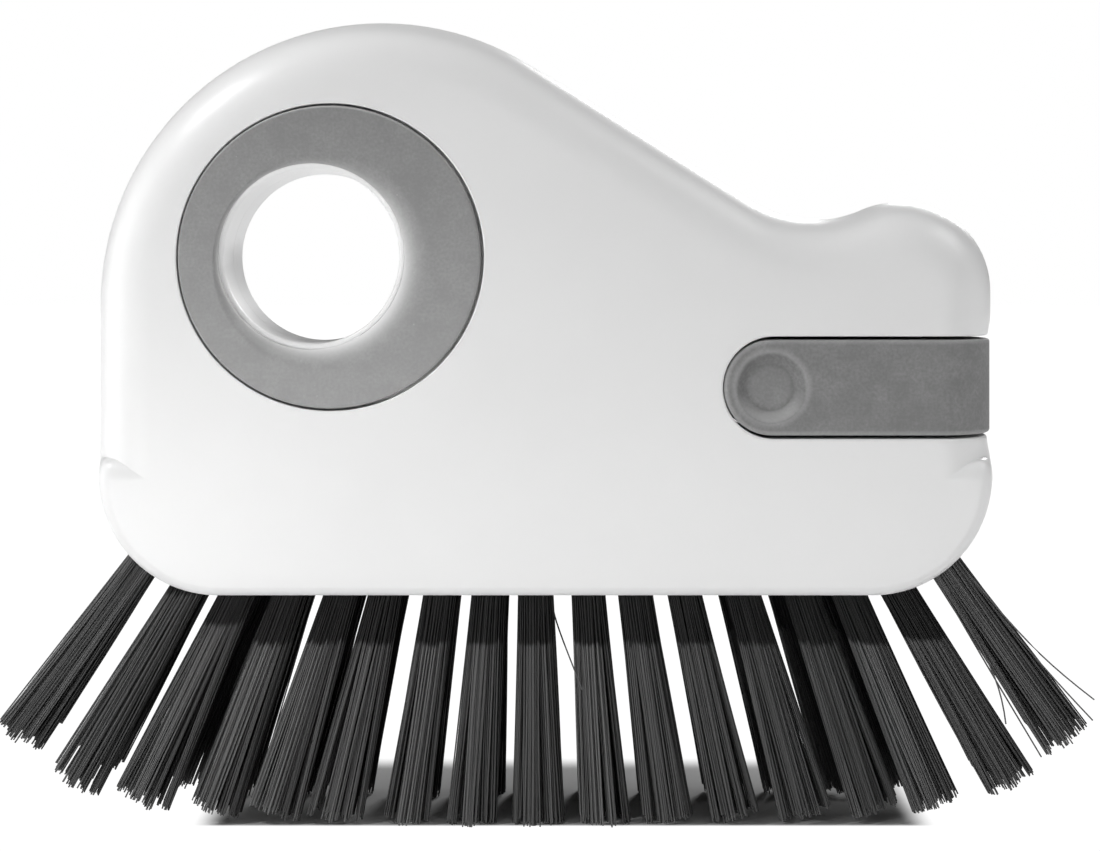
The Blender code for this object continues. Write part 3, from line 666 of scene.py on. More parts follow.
def bodyOutline(stepAngle):
    # Upper body from the right shoulder over the bump, saddle, slope and ring end to the left shoulder
    bump = Vector((halfWidth - shell["bumpRadius"], bumpTop - shell["bumpRadius"]))
    ringEnd = Vector((shell["ringEndRadius"] - halfWidth, bodyTop - shell["ringEndRadius"]))
    slopeOut = Vector((sin(shell["slopeAngle"]), cos(shell["slopeAngle"])))
    slopeDown = Vector((cos(shell["slopeAngle"]), -sin(shell["slopeAngle"])))
    slopeTop = ringEnd + slopeOut * shell["ringEndRadius"]
    # The saddle's circle touches the slope and the bump
    start = slopeTop + slopeOut * shell["saddleRadius"] - bump
    along = start.dot(slopeDown)
    reach = (shell["saddleRadius"] + shell["bumpRadius"]) ** 2 - start.length_squared + along ** 2
    saddle = bump + start + slopeDown * (-along - sqrt(reach))
    touch = atan2(saddle.y - bump.y, saddle.x - bump.x)
    slopeAngle = atan2(slopeOut.y, slopeOut.x)
    sideRows = round((bump.y - shoulderTop) / shell["sideRow"])
    points = [(halfWidth, z, 1.0, 0.0) for z in spread(shoulderTop, bump.y, sideRows)[:-1]]
    points += arc(bump.x, bump.y, shell["bumpRadius"], 0.0, touch, shell["bumpStep"] * stepAngle)
    hollow = arc(saddle.x, saddle.y, shell["saddleRadius"], touch + pi, slopeAngle + pi, stepAngle)
    points += [(x, z, -outX, -outZ) for x, z, outX, outZ in hollow[1:]]
    points += arc(ringEnd.x, ringEnd.y, shell["ringEndRadius"], slopeAngle, pi,
                  shell["ringEndStep"] * stepAngle)
    points.append((-halfWidth, shoulderTop, -1.0, 0.0))
    return [(x - slotDip(x, z) * (outX == 1.0), z, outX, outZ) for x, z, outX, outZ in points]


def footOutline(stepAngle):
    # Foot at the faces, from the left shoulder round the bottom to the right shoulder
    radius = shell["footCornerRadius"]
    turn = asin((cornerZ - shoulderZ) / radius)
    points = arc(-cornerX, cornerZ, radius, pi + turn, 1.5 * pi, stepAngle)
    return points + arc(cornerX, cornerZ, radius, 1.5 * pi, 2 * pi - turn, stepAngle)


def sectionLevels(wall):
    # Foot and upper body side by side, from the parting plane to the flat face:
    # (foot inset, foot depth, whether the foot's face is reached, upper inset, upper depth)
    radius = edgeRadius - wall
    footRadius = max(shell["footEdgeRadius"] - wall, shell["leastEdge"])
    face = halfDepth - wall
    land = shell["sideLand"]
    if wall:
        levels = [(wall, -shell["overcut"], False, wall, -shell["overcut"])]
    else:
        edge = shell["partingInset"]
        start = shell["partingGap"]
        levels = [(edge, start, False, edge, start)]
        start += shell["partingEdge"]
        levels.append((0.0, start, False, 0.0, start))
    sideAngle = shell["sideTurn"]
    filletAngle = acos(1 - (shell["footSwell"] + shell["footEdgeRadius"]) / edgeRadius)
    upSteps, edgeSteps, faceSteps = shell["levelSteps"]
    for depth, angle in zip(spread(land, face - footRadius, upSteps), spread(0.0, sideAngle, upSteps)):
        levels.append((wall, depth, False, wall + radius * (1 - cos(angle)), land + radius * sin(angle)))
    edgeTurns = zip(spread(0.0, 0.5 * pi, edgeSteps)[1:], spread(sideAngle, filletAngle, edgeSteps)[1:])
    for turn, angle in edgeTurns:
        footInset = wall + footRadius * (1 - cos(turn))
        footDepth = face - footRadius + footRadius * sin(turn)
        levels.append((footInset, footDepth, False, wall + radius * (1 - cos(angle)),
                       land + radius * sin(angle)))
    for angle in spread(filletAngle, 0.5 * pi, faceSteps)[1:]:
        inset = wall + radius * (1 - cos(angle))
        levels.append((inset, face, True, inset, land + radius * sin(angle)))
    innermost = edgeRadius + shell["faceReach"]
    return levels + [(innermost, face, True, innermost, face)]


def halfForm(side, wall, stepAngle):
    # One half of the body's form, a wall thickness inside the outer skin
    levels = sectionLevels(wall)
    swell = shell["footSwell"]

    def footPoint(level, x, z, outX, outZ):
        inset, depth, onFace, _, _ = level
        wide = swell * abs(outX)
        shift = wide - inset if onFace else wide * (1 - (depth / halfDepth) ** 2) - inset
        return Vector((x + outX * shift, depth, z + outZ * shift))

    def upperPoint(level, x, z, outX, outZ):
        _, _, _, inset, depth = level
        return Vector((x - outX * inset, depth, z - outZ * inset))

    def shoulder(hand):
        # Columns up the foot's rounded top, from its start to the crease with the upper body
        columns = []
        turns = shell["shoulderSteps"]
        for turn in range(turns + 1):
            column = []
            for level in levels:
                low = footPoint(level, hand * footHalfWidth, 0.0, hand, 0.0)
                high = upperPoint(level, hand * (halfWidth - slotDip(hand, shoulderZ)), 0.0, hand, 0.0)
                far = max((high - low).length, shell["shoulderLeast"])
                deep = max(shell["shoulderDepth"], far)
                angle = acos(1 - far / deep) * turn / turns
                share = deep * (1 - cos(angle)) / far
                point = low.lerp(high, share)
                column.append(Vector((point.x, point.y, shoulderZ + shell["shoulderRise"] * sin(angle))))
            columns.append(column)
        return columns

    columns = [[upperPoint(level, *place) for level in levels] for place in bodyOutline(stepAngle)]
    columns += shoulder(-1)[::-1]
    columns += [[footPoint(level, *place) for level in levels] for place in footOutline(stepAngle)[1:-1]]
    columns += shoulder(1)
    rings = [[Vector((column[level].x, side * column[level].y, column[level].z)) for column in columns]
             for level in range(len(levels))]
    form = ringSolid(rings)
    bmesh.ops.triangulate(form, faces=[face for face in form.faces if len(face.verts) == 4])
    return form


def slotOutline(halfHeight, stepAngle):
    # Straight slot with a round left end, open to the right
    roundEnd = arc(toolX + shell["slotShift"], toolZ, halfHeight, 0.5 * pi, 1.5 * pi, stepAngle)
    rightX = halfWidth + shell["overcut"]
    points = [(x, z) for x, z, _, _ in roundEnd]
    return points + [(rightX, toolZ - halfHeight), (rightX, toolZ + halfHeight)]


def pinPlaces():
    # Beside the ring's lower left, under the slope, in the thumb bump and beside the blade's guide
    lowZ = ledgeZ + shell["rib"] + pin["lowRise"]
    return [
        (pin["sideInset"] - halfWidth, lowZ),
        (ringX + ringRadius + pin["slopeShift"], ringZ + pin["slopeRise"]),
        (halfWidth - shell["bumpRadius"], bumpTop - shell["bumpRadius"]),
        (guideX + pin["guideShift"], lowZ),
    ]


def solidPlaces():
    # What stays solid inside a shell: (outline, depth where it starts), all of it up to the face
    rib = shell["rib"]
    guideHalf = slotHalfHeight + rib
    seam = -2 * shell["overcut"]
    half = block["ledgeHalfLength"]
    sleeveRadius = shell["boreRadius"] + shell["sleeveWall"]
    bossRadius = pin["radius"] + shell["gap"] + pin["bossWall"]
    places = [
        (circle(ringX, ringZ, ringRadius + shell["gap"] + rib, roundness["inside"]), recessDepth - rib),
        (circle(shell["boreX"], ringZ, sleeveRadius, roundness["inside"]), seam),
        (slotOutline(guideHalf, coarseArc), seam),
        (rectangle(-half, half, ledgeZ, ledgeZ + rib), seam),
        (rectangle(guideX - rib, guideX, toolZ - guideHalf, toolZ + guideHalf), seam),
    ]
    return places + [(circle(x, z, bossRadius, roundness["pin"]), seam) for x, z in pinPlaces()]


def footBand(outerInset, innerInset, endAngle):
    # Strip along the foot's lower edge, up to endAngle from straight down at both corners
    bands = []
    for inset in (outerInset, innerInset):
        radius = shell["footCornerRadius"] - inset
        left = arc(-cornerX, cornerZ, radius, 1.5 * pi - endAngle, 1.5 * pi, fineArc)
        right = arc(cornerX, cornerZ, radius, 1.5 * pi, 1.5 * pi + endAngle, fineArc)
        bands.append([(x, z) for x, z, _, _ in left + right])
    return bands[0] + bands[1][::-1]


def slotCutter(side):
    # Wide from outside down to the collar, narrow from there on, and as wide all through at the mouth
    overcut = shell["overcut"]
    wide = slotHalfHeight
    narrow = toolHalfHeight + shell["collarGap"]
    mouthX = halfWidth - shell["collarInset"]
    rightX = halfWidth + overcut
    deep = shell["collarHalfDepth"]
    step = shell["collarStep"]
    rings = []
    for half, centreX, depths in ((wide, toolX + shell["slotShift"], (halfDepth + overcut, deep)),
                                  (narrow, toolX, (deep - step, -overcut))):
        outline = [(x, z) for x, z, _, _ in arc(centreX, toolZ, half, 0.5 * pi, 1.5 * pi, fineArc)]
        outline += [(mouthX - step, toolZ - half), (mouthX, toolZ - wide), (rightX, toolZ - wide)]
        outline += [(rightX, toolZ + wide), (mouthX, toolZ + wide), (mouthX - step, toolZ + half)]
        rings += [[at(x, z, depth, side) for x, z in outline] for depth in depths]
    return ringSolid(rings)


def slotRimLine(side):
    # The slot's edge on the outer skin, up the rounded side, round the left end and back
    half = slotHalfHeight
    line = []
    for up in (1, -1):
        edgeX = halfWidth - slotDip(1, toolZ + up * half)
        centreX = edgeX - edgeRadius
        leg = [(edgeX, depth, 0.0) for depth in shell["slotRimStart"]]
        leg += [(centreX + edgeRadius * cos(angle), shell["sideLand"] + edgeRadius * sin(angle), angle)
                for angle in spread(0.0, 0.5 * pi, sideSteps)]
        rim = [(at(x, toolZ + up * half, depth, side), Vector((0.0, 0.0, up)),
                Vector((cos(angle), side * sin(angle), 0.0))) for x, depth, angle in leg]
        line.append(rim)
    turns = arc(toolX + shell["slotShift"], toolZ, half, 0.5 * pi, 1.5 * pi, fineArc)
    roundEnd = [(at(x, z, halfDepth, side), Vector((outX, 0.0, outZ)), Vector((0.0, side, 0.0)))
                for x, z, outX, outZ in turns]
    return line[0] + roundEnd + line[1][::-1]


def makeShell(side):
    # The cavity is the inner form less what stays solid, and the shell is the outer form less the cavity
    overcut = shell["overcut"]
    outside = halfDepth + overcut
    cavity = makeObject("cavity", halfForm(side, shell["wall"], coarseArc))
    for outline, near in solidPlaces():
        combine(cavity, prism(outline, near, cavityDepth + 0.5 * shell["wall"], side))
    hollow = bmesh.new()
    hollow.from_mesh(cavity.data)
    bpy.data.objects.remove(cavity, do_unlink=True)
    half = makeObject("shell", halfForm(side, 0.0, fineArc))
    combine(half, hollow)

    # Recess for the ring, round the sleeve's lip
    recess = [(ringX, seatZ, ringRadius), (shell["boreX"], ringZ, shell["lipRadius"])]
    rings = []
    for place, depths in zip(recess, ((recessDepth, outside), (outside, recessDepth))):
        rings += [[at(px, pz, depth, side) for px, pz in circle(*place, roundness["recess"])]
                  for depth in depths]
    combine(half, ringSolid(rings, closed=True))
    rim = [(at(x, z, halfDepth, side), Vector((x - ringX, 0.0, z - seatZ)).normalized(),
            Vector((0.0, side, 0.0))) for x, z in circle(ringX, seatZ, ringRadius, roundness["recess"])]
    softenRim(half, rim, shell["ringRim"], shell["ringRim"], closed=True)

    # Bore, whose mouth rounds over into the lip
    bore = shell["boreRadius"]
    lipRound = shell["lipRound"]
    clearOut, clearUp = shell["lipClear"]
    past = shell["lipRadius"] + clearOut
    top = shell["lipTopDepth"]
    profile = [(bore, -overcut), (bore, top - lipRound)]
    profile += [(bore + lipRound * (1 - cos(turn)), top - lipRound * (1 - sin(turn)))
                for turn in spread(*shell["lipTurn"], shell["lipSteps"])]
    profile += [(past, top + clearUp), (past, outside)]
    combine(half, lathe(shell["boreX"], ringZ, profile, side, roundness["bore"]))

    # Slot, the blade's way into the body and the opening for the tufts
    combine(half, slotCutter(side))
    softenRim(half, slotRimLine(side), shell["slotRim"], shell["slotRim"], closed=False)
    wayHalf = guide["bladeHalfHeight"] + shell["gap"]
    bladeWay = rectangle(guideX - shell["rib"] - overcut, toolX, toolZ - wayHalf, toolZ + wayHalf)
    combine(half, prism(bladeWay, -overcut, guide["bladeHalfThickness"] + shell["gap"], side))
    tuftAngle = asin((endTuftX - cornerX) / shell["footCornerRadius"])
    openingAngle = tuftAngle + (block["tuftRadius"] + shell["wall"]) / shell["footCornerRadius"]
    tuftWay = footBand(-shell["footSwell"] - overcut, shell["wall"] + overcut, openingAngle)
    combine(half, prism(tuftWay, -overcut, block["openingDepth"], side))

    # Locating pins on the front half, sockets in the back one
    for x, z in pinPlaces():
        if side == front:
            peg = circle(x, z, pin["radius"], roundness["pin"])
            combine(half, prism(peg, -pin["reach"], 0.5 * cavityDepth, side), "UNION")
        else:
            socket = circle(x, z, pin["radius"] + shell["gap"], roundness["pin"])
            combine(half, prism(socket, -overcut, pin["reach"] + shell["gap"], side))
    return half


def steadyNormals(piece):
    # Lets the large faces lead the shading, so that flats stay even up to their rounded edges
    modifier = piece.modifiers.new("even shading", "WEIGHTED_NORMAL")
    modifier.mode = "FACE_AREA"
    modifier.keep_sharp = True
    modifier.weight = 50


for side, name in ((front, "front"), (back, "back")):
    half = dress(makeShell(side), name + "_shell_moulding", whiteAbs, "brush_body",
                 [name + "_shell"], sharpAngle=32)
    steadyNormals(half)
    print(name, "shell made")


# Ring grips
def makeRing(side):
    # Flat face with a small rounded outer edge, then a roll into the hole, widest at the lower right
    edge = ringSize["edgeRadius"]
    boreX = shell["boreX"]
    chamfer = ringSize["backChamfer"]
    outerX = ringX + ringSize["offset"]
    outer = ringRadius - ringSize["seatGap"]
    steps = [(outerX, seatZ, outer - chamfer, ringBackDepth)]
    steps.append((outerX, seatZ, outer, ringBackDepth + chamfer))
    for turn in spread(0.0, 0.5 * pi, ringSize["edgeSteps"]):
        steps.append((outerX, seatZ, outer - edge * (1 - cos(turn)), halfDepth - edge * (1 - sin(turn))))
    steps.append((outerX, seatZ, outer - ringSize["faceStart"] * edge, halfDepth))
    inner = ringSize["innerRadius"]
    for share in spread(1.0, 0.0, ringSize["rollSteps"]):
        steps.append((
            boreX + ringSize["rollShift"] * share,
            ringZ - ringSize["rollDrop"] * share,
            inner + (ringSize["rollRadius"] - inner) * share,
            halfDepth - ringSize["rollDepth"] * (1 - share) ** 2,
        ))
    steps.append((boreX, ringZ, inner, ringBackDepth))
    widest = atan2(-ringSize["rollDrop"], ringSize["rollShift"])
    rings = []
    for centreX, centreZ, radius, depth in steps:
        rolled = radius < ringSize["rollRadius"] and depth > ringBackDepth
        ring = []
        for x, z in circle(centreX, centreZ, radius, roundness["ring"]):
            away = 0.5 * (1 - cos(atan2(z - centreZ, x - centreX) - widest))
            share = 1 - (1 - ringSize["narrowShare"]) * away
            ring.append(at(x, z, halfDepth - (halfDepth - depth) * share if rolled else depth, side))
        rings.append(ring)
    return makeObject("ring", ringSolid(rings, closed=True))


for side, name in ((front, "front"), (back, "back")):
    ring = dress(makeRing(side), name + "_ring_rubber", ringRubber, "brush_body",
                 [name + "_ring_grip"], sharpAngle=50)
    steadyNormals(ring)
print("ring grips made")

# Pull-out tool
tool = {
    "rimWidth": 1.05 * mm,        # a shallow soft rim all round the rubber
    "rimDepth": 0.42 * mm,
    "rimSides": 0.35,             # the rim's width at the body's sides, as a share of that on the faces
    "endInset": 0.15 * mm,        # the grip ends this much inside the body's right-hand side
    "endSteps": 16,
    "roundStep": radians(4),
    "dimpleX": toolX - 0.05 * mm,
    "dimpleRadius": 5.95 * mm,
    "dimpleFloor": 3.7 * mm,
    "dimpleDepth": 1.6 * mm,
    "dimpleSteps": 14,
    "dimpleClear": (0.25 * mm, 0.1 * mm),     # its cutter reaches this far out past the lip and the face
    "coreCover": 4.5 * mm,        # rubber round the blade's core at the round end
    "coreEndCover": 8.4 * mm,
    "coreHalfHeight": 5.0 * mm,
    "coreHalfThickness": 3.0 * mm,
    "bladeBevelLength": 10.0 * mm,
    "edgeHalfThickness": 0.3 * mm,
    "cornerCut": 3.0 * mm,
    "bladeEdge": 0.2 * mm,        # radius of the blade's moulded edges
}
coreLeft = gripLow.x + tool["coreCover"]
coreRight = halfWidth - tool["coreEndCover"]


def gripEnd(steps):
    # The grip's right end, which follows the body's rounded side: (x, depth, angle of its normal)
    centreX = halfWidth - tool["endInset"] - edgeRadius
    return [(centreX + edgeRadius * cos(angle), shell["sideLand"] + edgeRadius * sin(angle), angle)
            for angle in spread(0.0, 0.5 * pi, steps)]


def gripForm():
    # Bar with a round left end, made of columns round its outline, each with a front and a back point
    ending = gripEnd(tool["endSteps"])
    upper = [(x, toolZ + toolHalfHeight, depth) for x, depth, _ in ending]
    lower = [(x, toolZ - toolHalfHeight, depth) for x, depth, _ in reversed(ending)]
    turns = arc(toolX, toolZ, toolHalfHeight, 0.5 * pi, 1.5 * pi, tool["roundStep"])
    columns = upper + [(x, z, halfDepth) for x, z, _, _ in turns] + lower
    mesh = bmesh.new()
    fronts = [mesh.verts.new(at(x, z, depth, front)) for x, z, depth in columns]
    backs = [mesh.verts.new(at(x, z, depth, back)) for x, z, depth in columns]
    count = len(upper)
    total = len(columns)
    for index in range(count - 1, total - count):
        mesh.faces.new((fronts[index], fronts[index + 1], backs[index + 1], backs[index]))
    mesh.faces.new(fronts[:count] + backs[:count][::-1])
    mesh.faces.new(fronts[total - count:] + backs[total - count:][::-1])
    mesh.faces.new((fronts[0], backs[0], backs[-1], fronts[-1]))
    for points in (fronts, backs):
        for index in range(count - 1):
            mesh.faces.new((points[index], points[index + 1], points[total - 2 - index],
                            points[total - 1 - index]))
        mesh.faces.new(points[count - 1:total - count + 1])
    bmesh.ops.recalc_face_normals(mesh, faces=mesh.faces)
    return mesh


def gripRimLine():
    # The grip's edge as one closed line: out along the top, round both faces' left ends and back
    line = []
    narrow = tool["rimSides"]
    for side, first in ((front, 1), (back, -1)):
        legs = {}
        for up in (1, -1):
            legs[up] = [(at(x, toolZ + up * toolHalfHeight, depth, side),
                         Vector((0.0, 0.0, -up)) * (narrow + (1 - narrow) * sin(angle)),
                         Vector((cos(angle), side * sin(angle), 0.0)))
                        for x, depth, angle in gripEnd(sideSteps)]
        turns = arc(toolX, toolZ, toolHalfHeight, 0.5 * pi, 1.5 * pi, fineArc)[::first]
        roundEnd = [(at(x, z, halfDepth, side), Vector((-outX, 0.0, -outZ)), Vector((0.0, side, 0.0)))
                    for x, z, outX, outZ in turns]
        line += legs[first] + roundEnd + legs[-first][::-1]
    return line


def dimpleCutter(side):
    # Round fingertip hollow: flat floor, then a wall that rolls out over a soft lip
    floor = tool["dimpleFloor"]
    wide = tool["dimpleRadius"]
    clearOut, clearUp = tool["dimpleClear"]
    profile = [(wide + clearOut, halfDepth + clearUp)]
    for share in spread(0.97, 0.0, tool["dimpleSteps"]):
        drop = tool["dimpleDepth"] * (1 - smoothStep(share))
        profile.append((floor + (wide - floor) * share, halfDepth - drop))
    return lathe(tool["dimpleX"], toolZ, profile, side, roundness["dimple"])


def bladeForm(extra):
    # Core and blade as a chain of rectangles along X, each grown by extra
    coreHalf = tool["coreHalfHeight"]
    bladeHalf = guide["bladeHalfHeight"]
    thin = guide["bladeHalfThickness"]
    bevelX = bladeLow.x + tool["bladeBevelLength"]
    sections = [
        (coreRight + extra, -coreHalf, coreHalf, tool["coreHalfThickness"]),
        (coreLeft - extra, -coreHalf, coreHalf, tool["coreHalfThickness"]),
        (coreLeft - extra, -bladeHalf, bladeHalf, thin),
        (bevelX, -bladeHalf, bladeHalf, thin),
        (bladeLow.x, -bladeHalf, bladeHalf - tool["cornerCut"], tool["edgeHalfThickness"]),
    ]
    rings = []
    for x, low, high, halfThickness in sections:
        thick = halfThickness + extra
        corners = rectangle(-thick, thick, toolZ + low - extra, toolZ + high + extra)
        rings.append([Vector((x, y, z)) for y, z in corners])
    return ringSolid(rings)


grip = makeObject("grip", gripForm())
softenRim(grip, gripRimLine(), tool["rimWidth"], tool["rimDepth"], closed=True)
for side in (front, back):
    combine(grip, dimpleCutter(side))
combine(grip, bladeForm(shell["gap"]))
dress(grip, "tool_grip_rubber", gripRubber, "pull_out_tool", ["tool_grip"], sharpAngle=40)
steadyNormals(grip)

blade = makeObject("blade", bladeForm(0.0))
dress(blade, "tool_blade_moulding", bladePlastic, "pull_out_tool", ["tool_blade"])
edgeRound = blade.modifiers.new("small round edges", "BEVEL")
edgeRound.width = tool["bladeEdge"]
edgeRound.segments = 3
edgeRound.harden_normals = True
print("tool made")

# Bristle block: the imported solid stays, in its own plastic
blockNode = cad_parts["bristle_block"]
blockNode.data.materials.clear()
blockNode.data.materials.append(blockPlastic)

# Tufts
tuft = {
    # Left to right, as each tuft stands. Lean in degrees, shift past its hole and width at the tips in mm
    "lean": (-35.3, -29.8, -24.5, -19.0, -16.8, -12.6, -8.1, -3.7, 1.0,
             4.1, 8.2, 12.6, 15.7, 18.3, 22.3, 30.2, 34.6),
    "shift": (0.0, -1.1, -1.2, -0.7, -0.6, -1.6, -0.9, -1.2, -1.8,
              -1.2, -1.6, -1.8, -0.5, 0.9, 0.4, 0.1, -0.4),
    "backShift": (-0.65, -1.1, 1.0, -0.2, 0.2, -0.9, -0.4, -0.6, -1.5,
                  -1.1, -1.6, -1.6, -1.2, -1.1, -0.8, 1.1, 0.25),
    "tipWidth": (8.4, 8.6, 9.2, 8.4, 8.4, 8.8, 7.6, 8.4, 8.7,
                 8.2, 8.2, 7.8, 8.4, 8.0, 8.4, 8.0, 8.2),
    "rowOffset": 5.0 * mm,
    "rowSplay": radians(3.0),
    "rootRadius": 2.68 * mm,
    "rootDepth": 8.0 * mm,        # how far above the foot's edge a tuft starts, up its hole
    "mouthDepth": 2.4 * mm,       # how far above the edge the hole ends
    "paintedShadowDrop": 8.3 * mm,          # the body's painted shadow reaches this far down the strands, less towards the ends
    # the painted shadow's edge rises towards the left end tuft from leftFrom and towards the right one from
    # rightFrom, by these shares of the distance
    "leftFrom": 43 * mm,
    "leftLift": 0.5,
    "rightFrom": 61 * mm,
    "rightLift": 2.0,
    "filaments": 170,
    "filamentRadius": 0.145 * mm,
    "filamentSpread": 0.15,       # thinner and thicker by up to this share
    "tipTaper": 0.9,
    "sides": 5,
    "steps": 5,
    "length": 37.9 * mm,
    "endShorter": 2.4 * mm,       # the two end tufts are this much shorter
    "endPower": 8,                # a high power, so that only the outermost tufts are shorter
    "uneven": 1.5 * mm,           # the most that a strand is cut short
    "placeJitter": 0.07 * mm,
    "flareThrough": 1.35,         # how much wider a tuft is at its tips, from front to back
    "clumps": 11,
    "clumpReach": 0.85,           # the middles of the clumps lie in this share of the tuft's radius
    "clumpPull": 0.42,            # how far the strands of a clump have drawn together at the tips
    "clumpWiden": 0.35,           # and the tuft widens by this share of that, so that it stays as wide
    "clumpDrift": 0.40 * mm,
    "clumpShort": (0.0, 0.5),
    "clumpShade": (0.45, 1.0),
    "flarePower": 1.1,
    "bow": 0.10 * mm,
    "tipScatter": 0.16 * mm,
    "paintedShadowScatter": 0.25 * mm,
    "floorGap": 0.05 * mm,
    "strandShade": (0.7, 1.3),
    "paintedLightOut": 0.9,              # painted light: the strands on a tuft's outer side and left are painted palest, those inside darkest, as in shade
    "paintedLightLeft": 0.5,
    "paintedLightSpread": 0.62,
    "strayShade": 0.8,
    "seed": 11,
}

# Strands that have sprung out of a front tuft: its number from 0, then root, kink and tip in millimetres
strays = [
    (16, ((66.4, -6.5, 43.6), (79.0, -8.6, 28.0), (88.6, -10.2, 20.6))),
    (16, ((66.2, -6.2, 43.4), (80.0, -8.4, 26.2), (88.4, -10.0, 17.2))),
    (16, ((62.8, -6.0, 41.6), (72.2, -7.6, 25.0), (80.4, -9.0, 11.0))),
    (16, ((63.0, -6.4, 41.8), (73.8, -8.2, 24.6), (74.6, -9.2, 16.4))),
    (8, ((1.0, -6.8, 36.0), (1.4, -7.6, 33.0), (6.0, -8.8, 21.8))),
]


def footEdge(x):
    # Height of the foot's lower edge at x
    past = max(abs(x) - cornerX, 0.0)
    return cornerZ - sqrt(max(shell["footCornerRadius"] ** 2 - past ** 2, 0.0))


def discPoints(count, radius, chance):
    # Evenly packed places over a disc, each a little out of place
    golden = pi * (3 - sqrt(5))
    jitter = tuft["placeJitter"]
    points = []
    for index in range(count):
        reach = radius * sqrt((index + 0.5) / count)
        angle = index * golden
        points.append(Vector((reach * cos(angle) + chance.uniform(-jitter, jitter),
                              reach * sin(angle) + chance.uniform(-jitter, jitter))))
    return points


def addFilament(strands, points, radius, turn, shade, paintedShadowZ):
    # One strand along its points, as a slightly tapered tube with closed ends
    sides = tuft["sides"]
    vertices = strands["vertices"]
    faces = strands["faces"]
    first = len(vertices)
    last = len(points) - 1
    for index, point in enumerate(points):
        before = points[max(index - 1, 0)]
        after = points[min(index + 1, last)]
        direction = (after - before).normalized()
        across = direction.orthogonal().normalized()
        through = direction.cross(across)
        thick = radius * (1 - (1 - tuft["tipTaper"]) * index / last)
        for corner in range(sides):
            angle = turn + 2 * pi * corner / sides
            vertices.append(point + (across * cos(angle) + through * sin(angle)) * thick)
            # how far each point lies below the painted shadow's edge, in mm
            strands["below"].append((paintedShadowZ - point.z) / mm)
            strands["shade"].append(shade)
    for index in range(last):
        low = first + index * sides
        for corner in range(sides):
            following = (corner + 1) % sides
            faces.append((low + corner, low + following, low + sides + following, low + sides + corner))
    end = first + last * sides
    faces.append(tuple(first + corner for corner in reversed(range(sides))))
    faces.append(tuple(end + corner for corner in range(sides)))


def sprungPath(root, kink, tip):
    # Straight out of the tuft, a short bend at the kink, and straight on
    handles = [root.lerp(kink, 0.85), tip.lerp(kink, 0.85)]
    points = [root]
    for share in spread(0.0, 1.0, 10):
        rest = 1 - share
        points.append(root * rest ** 3 + (handles[0] * rest + handles[1] * share) * 3 * share * rest
                      + tip * share ** 3)
    return points


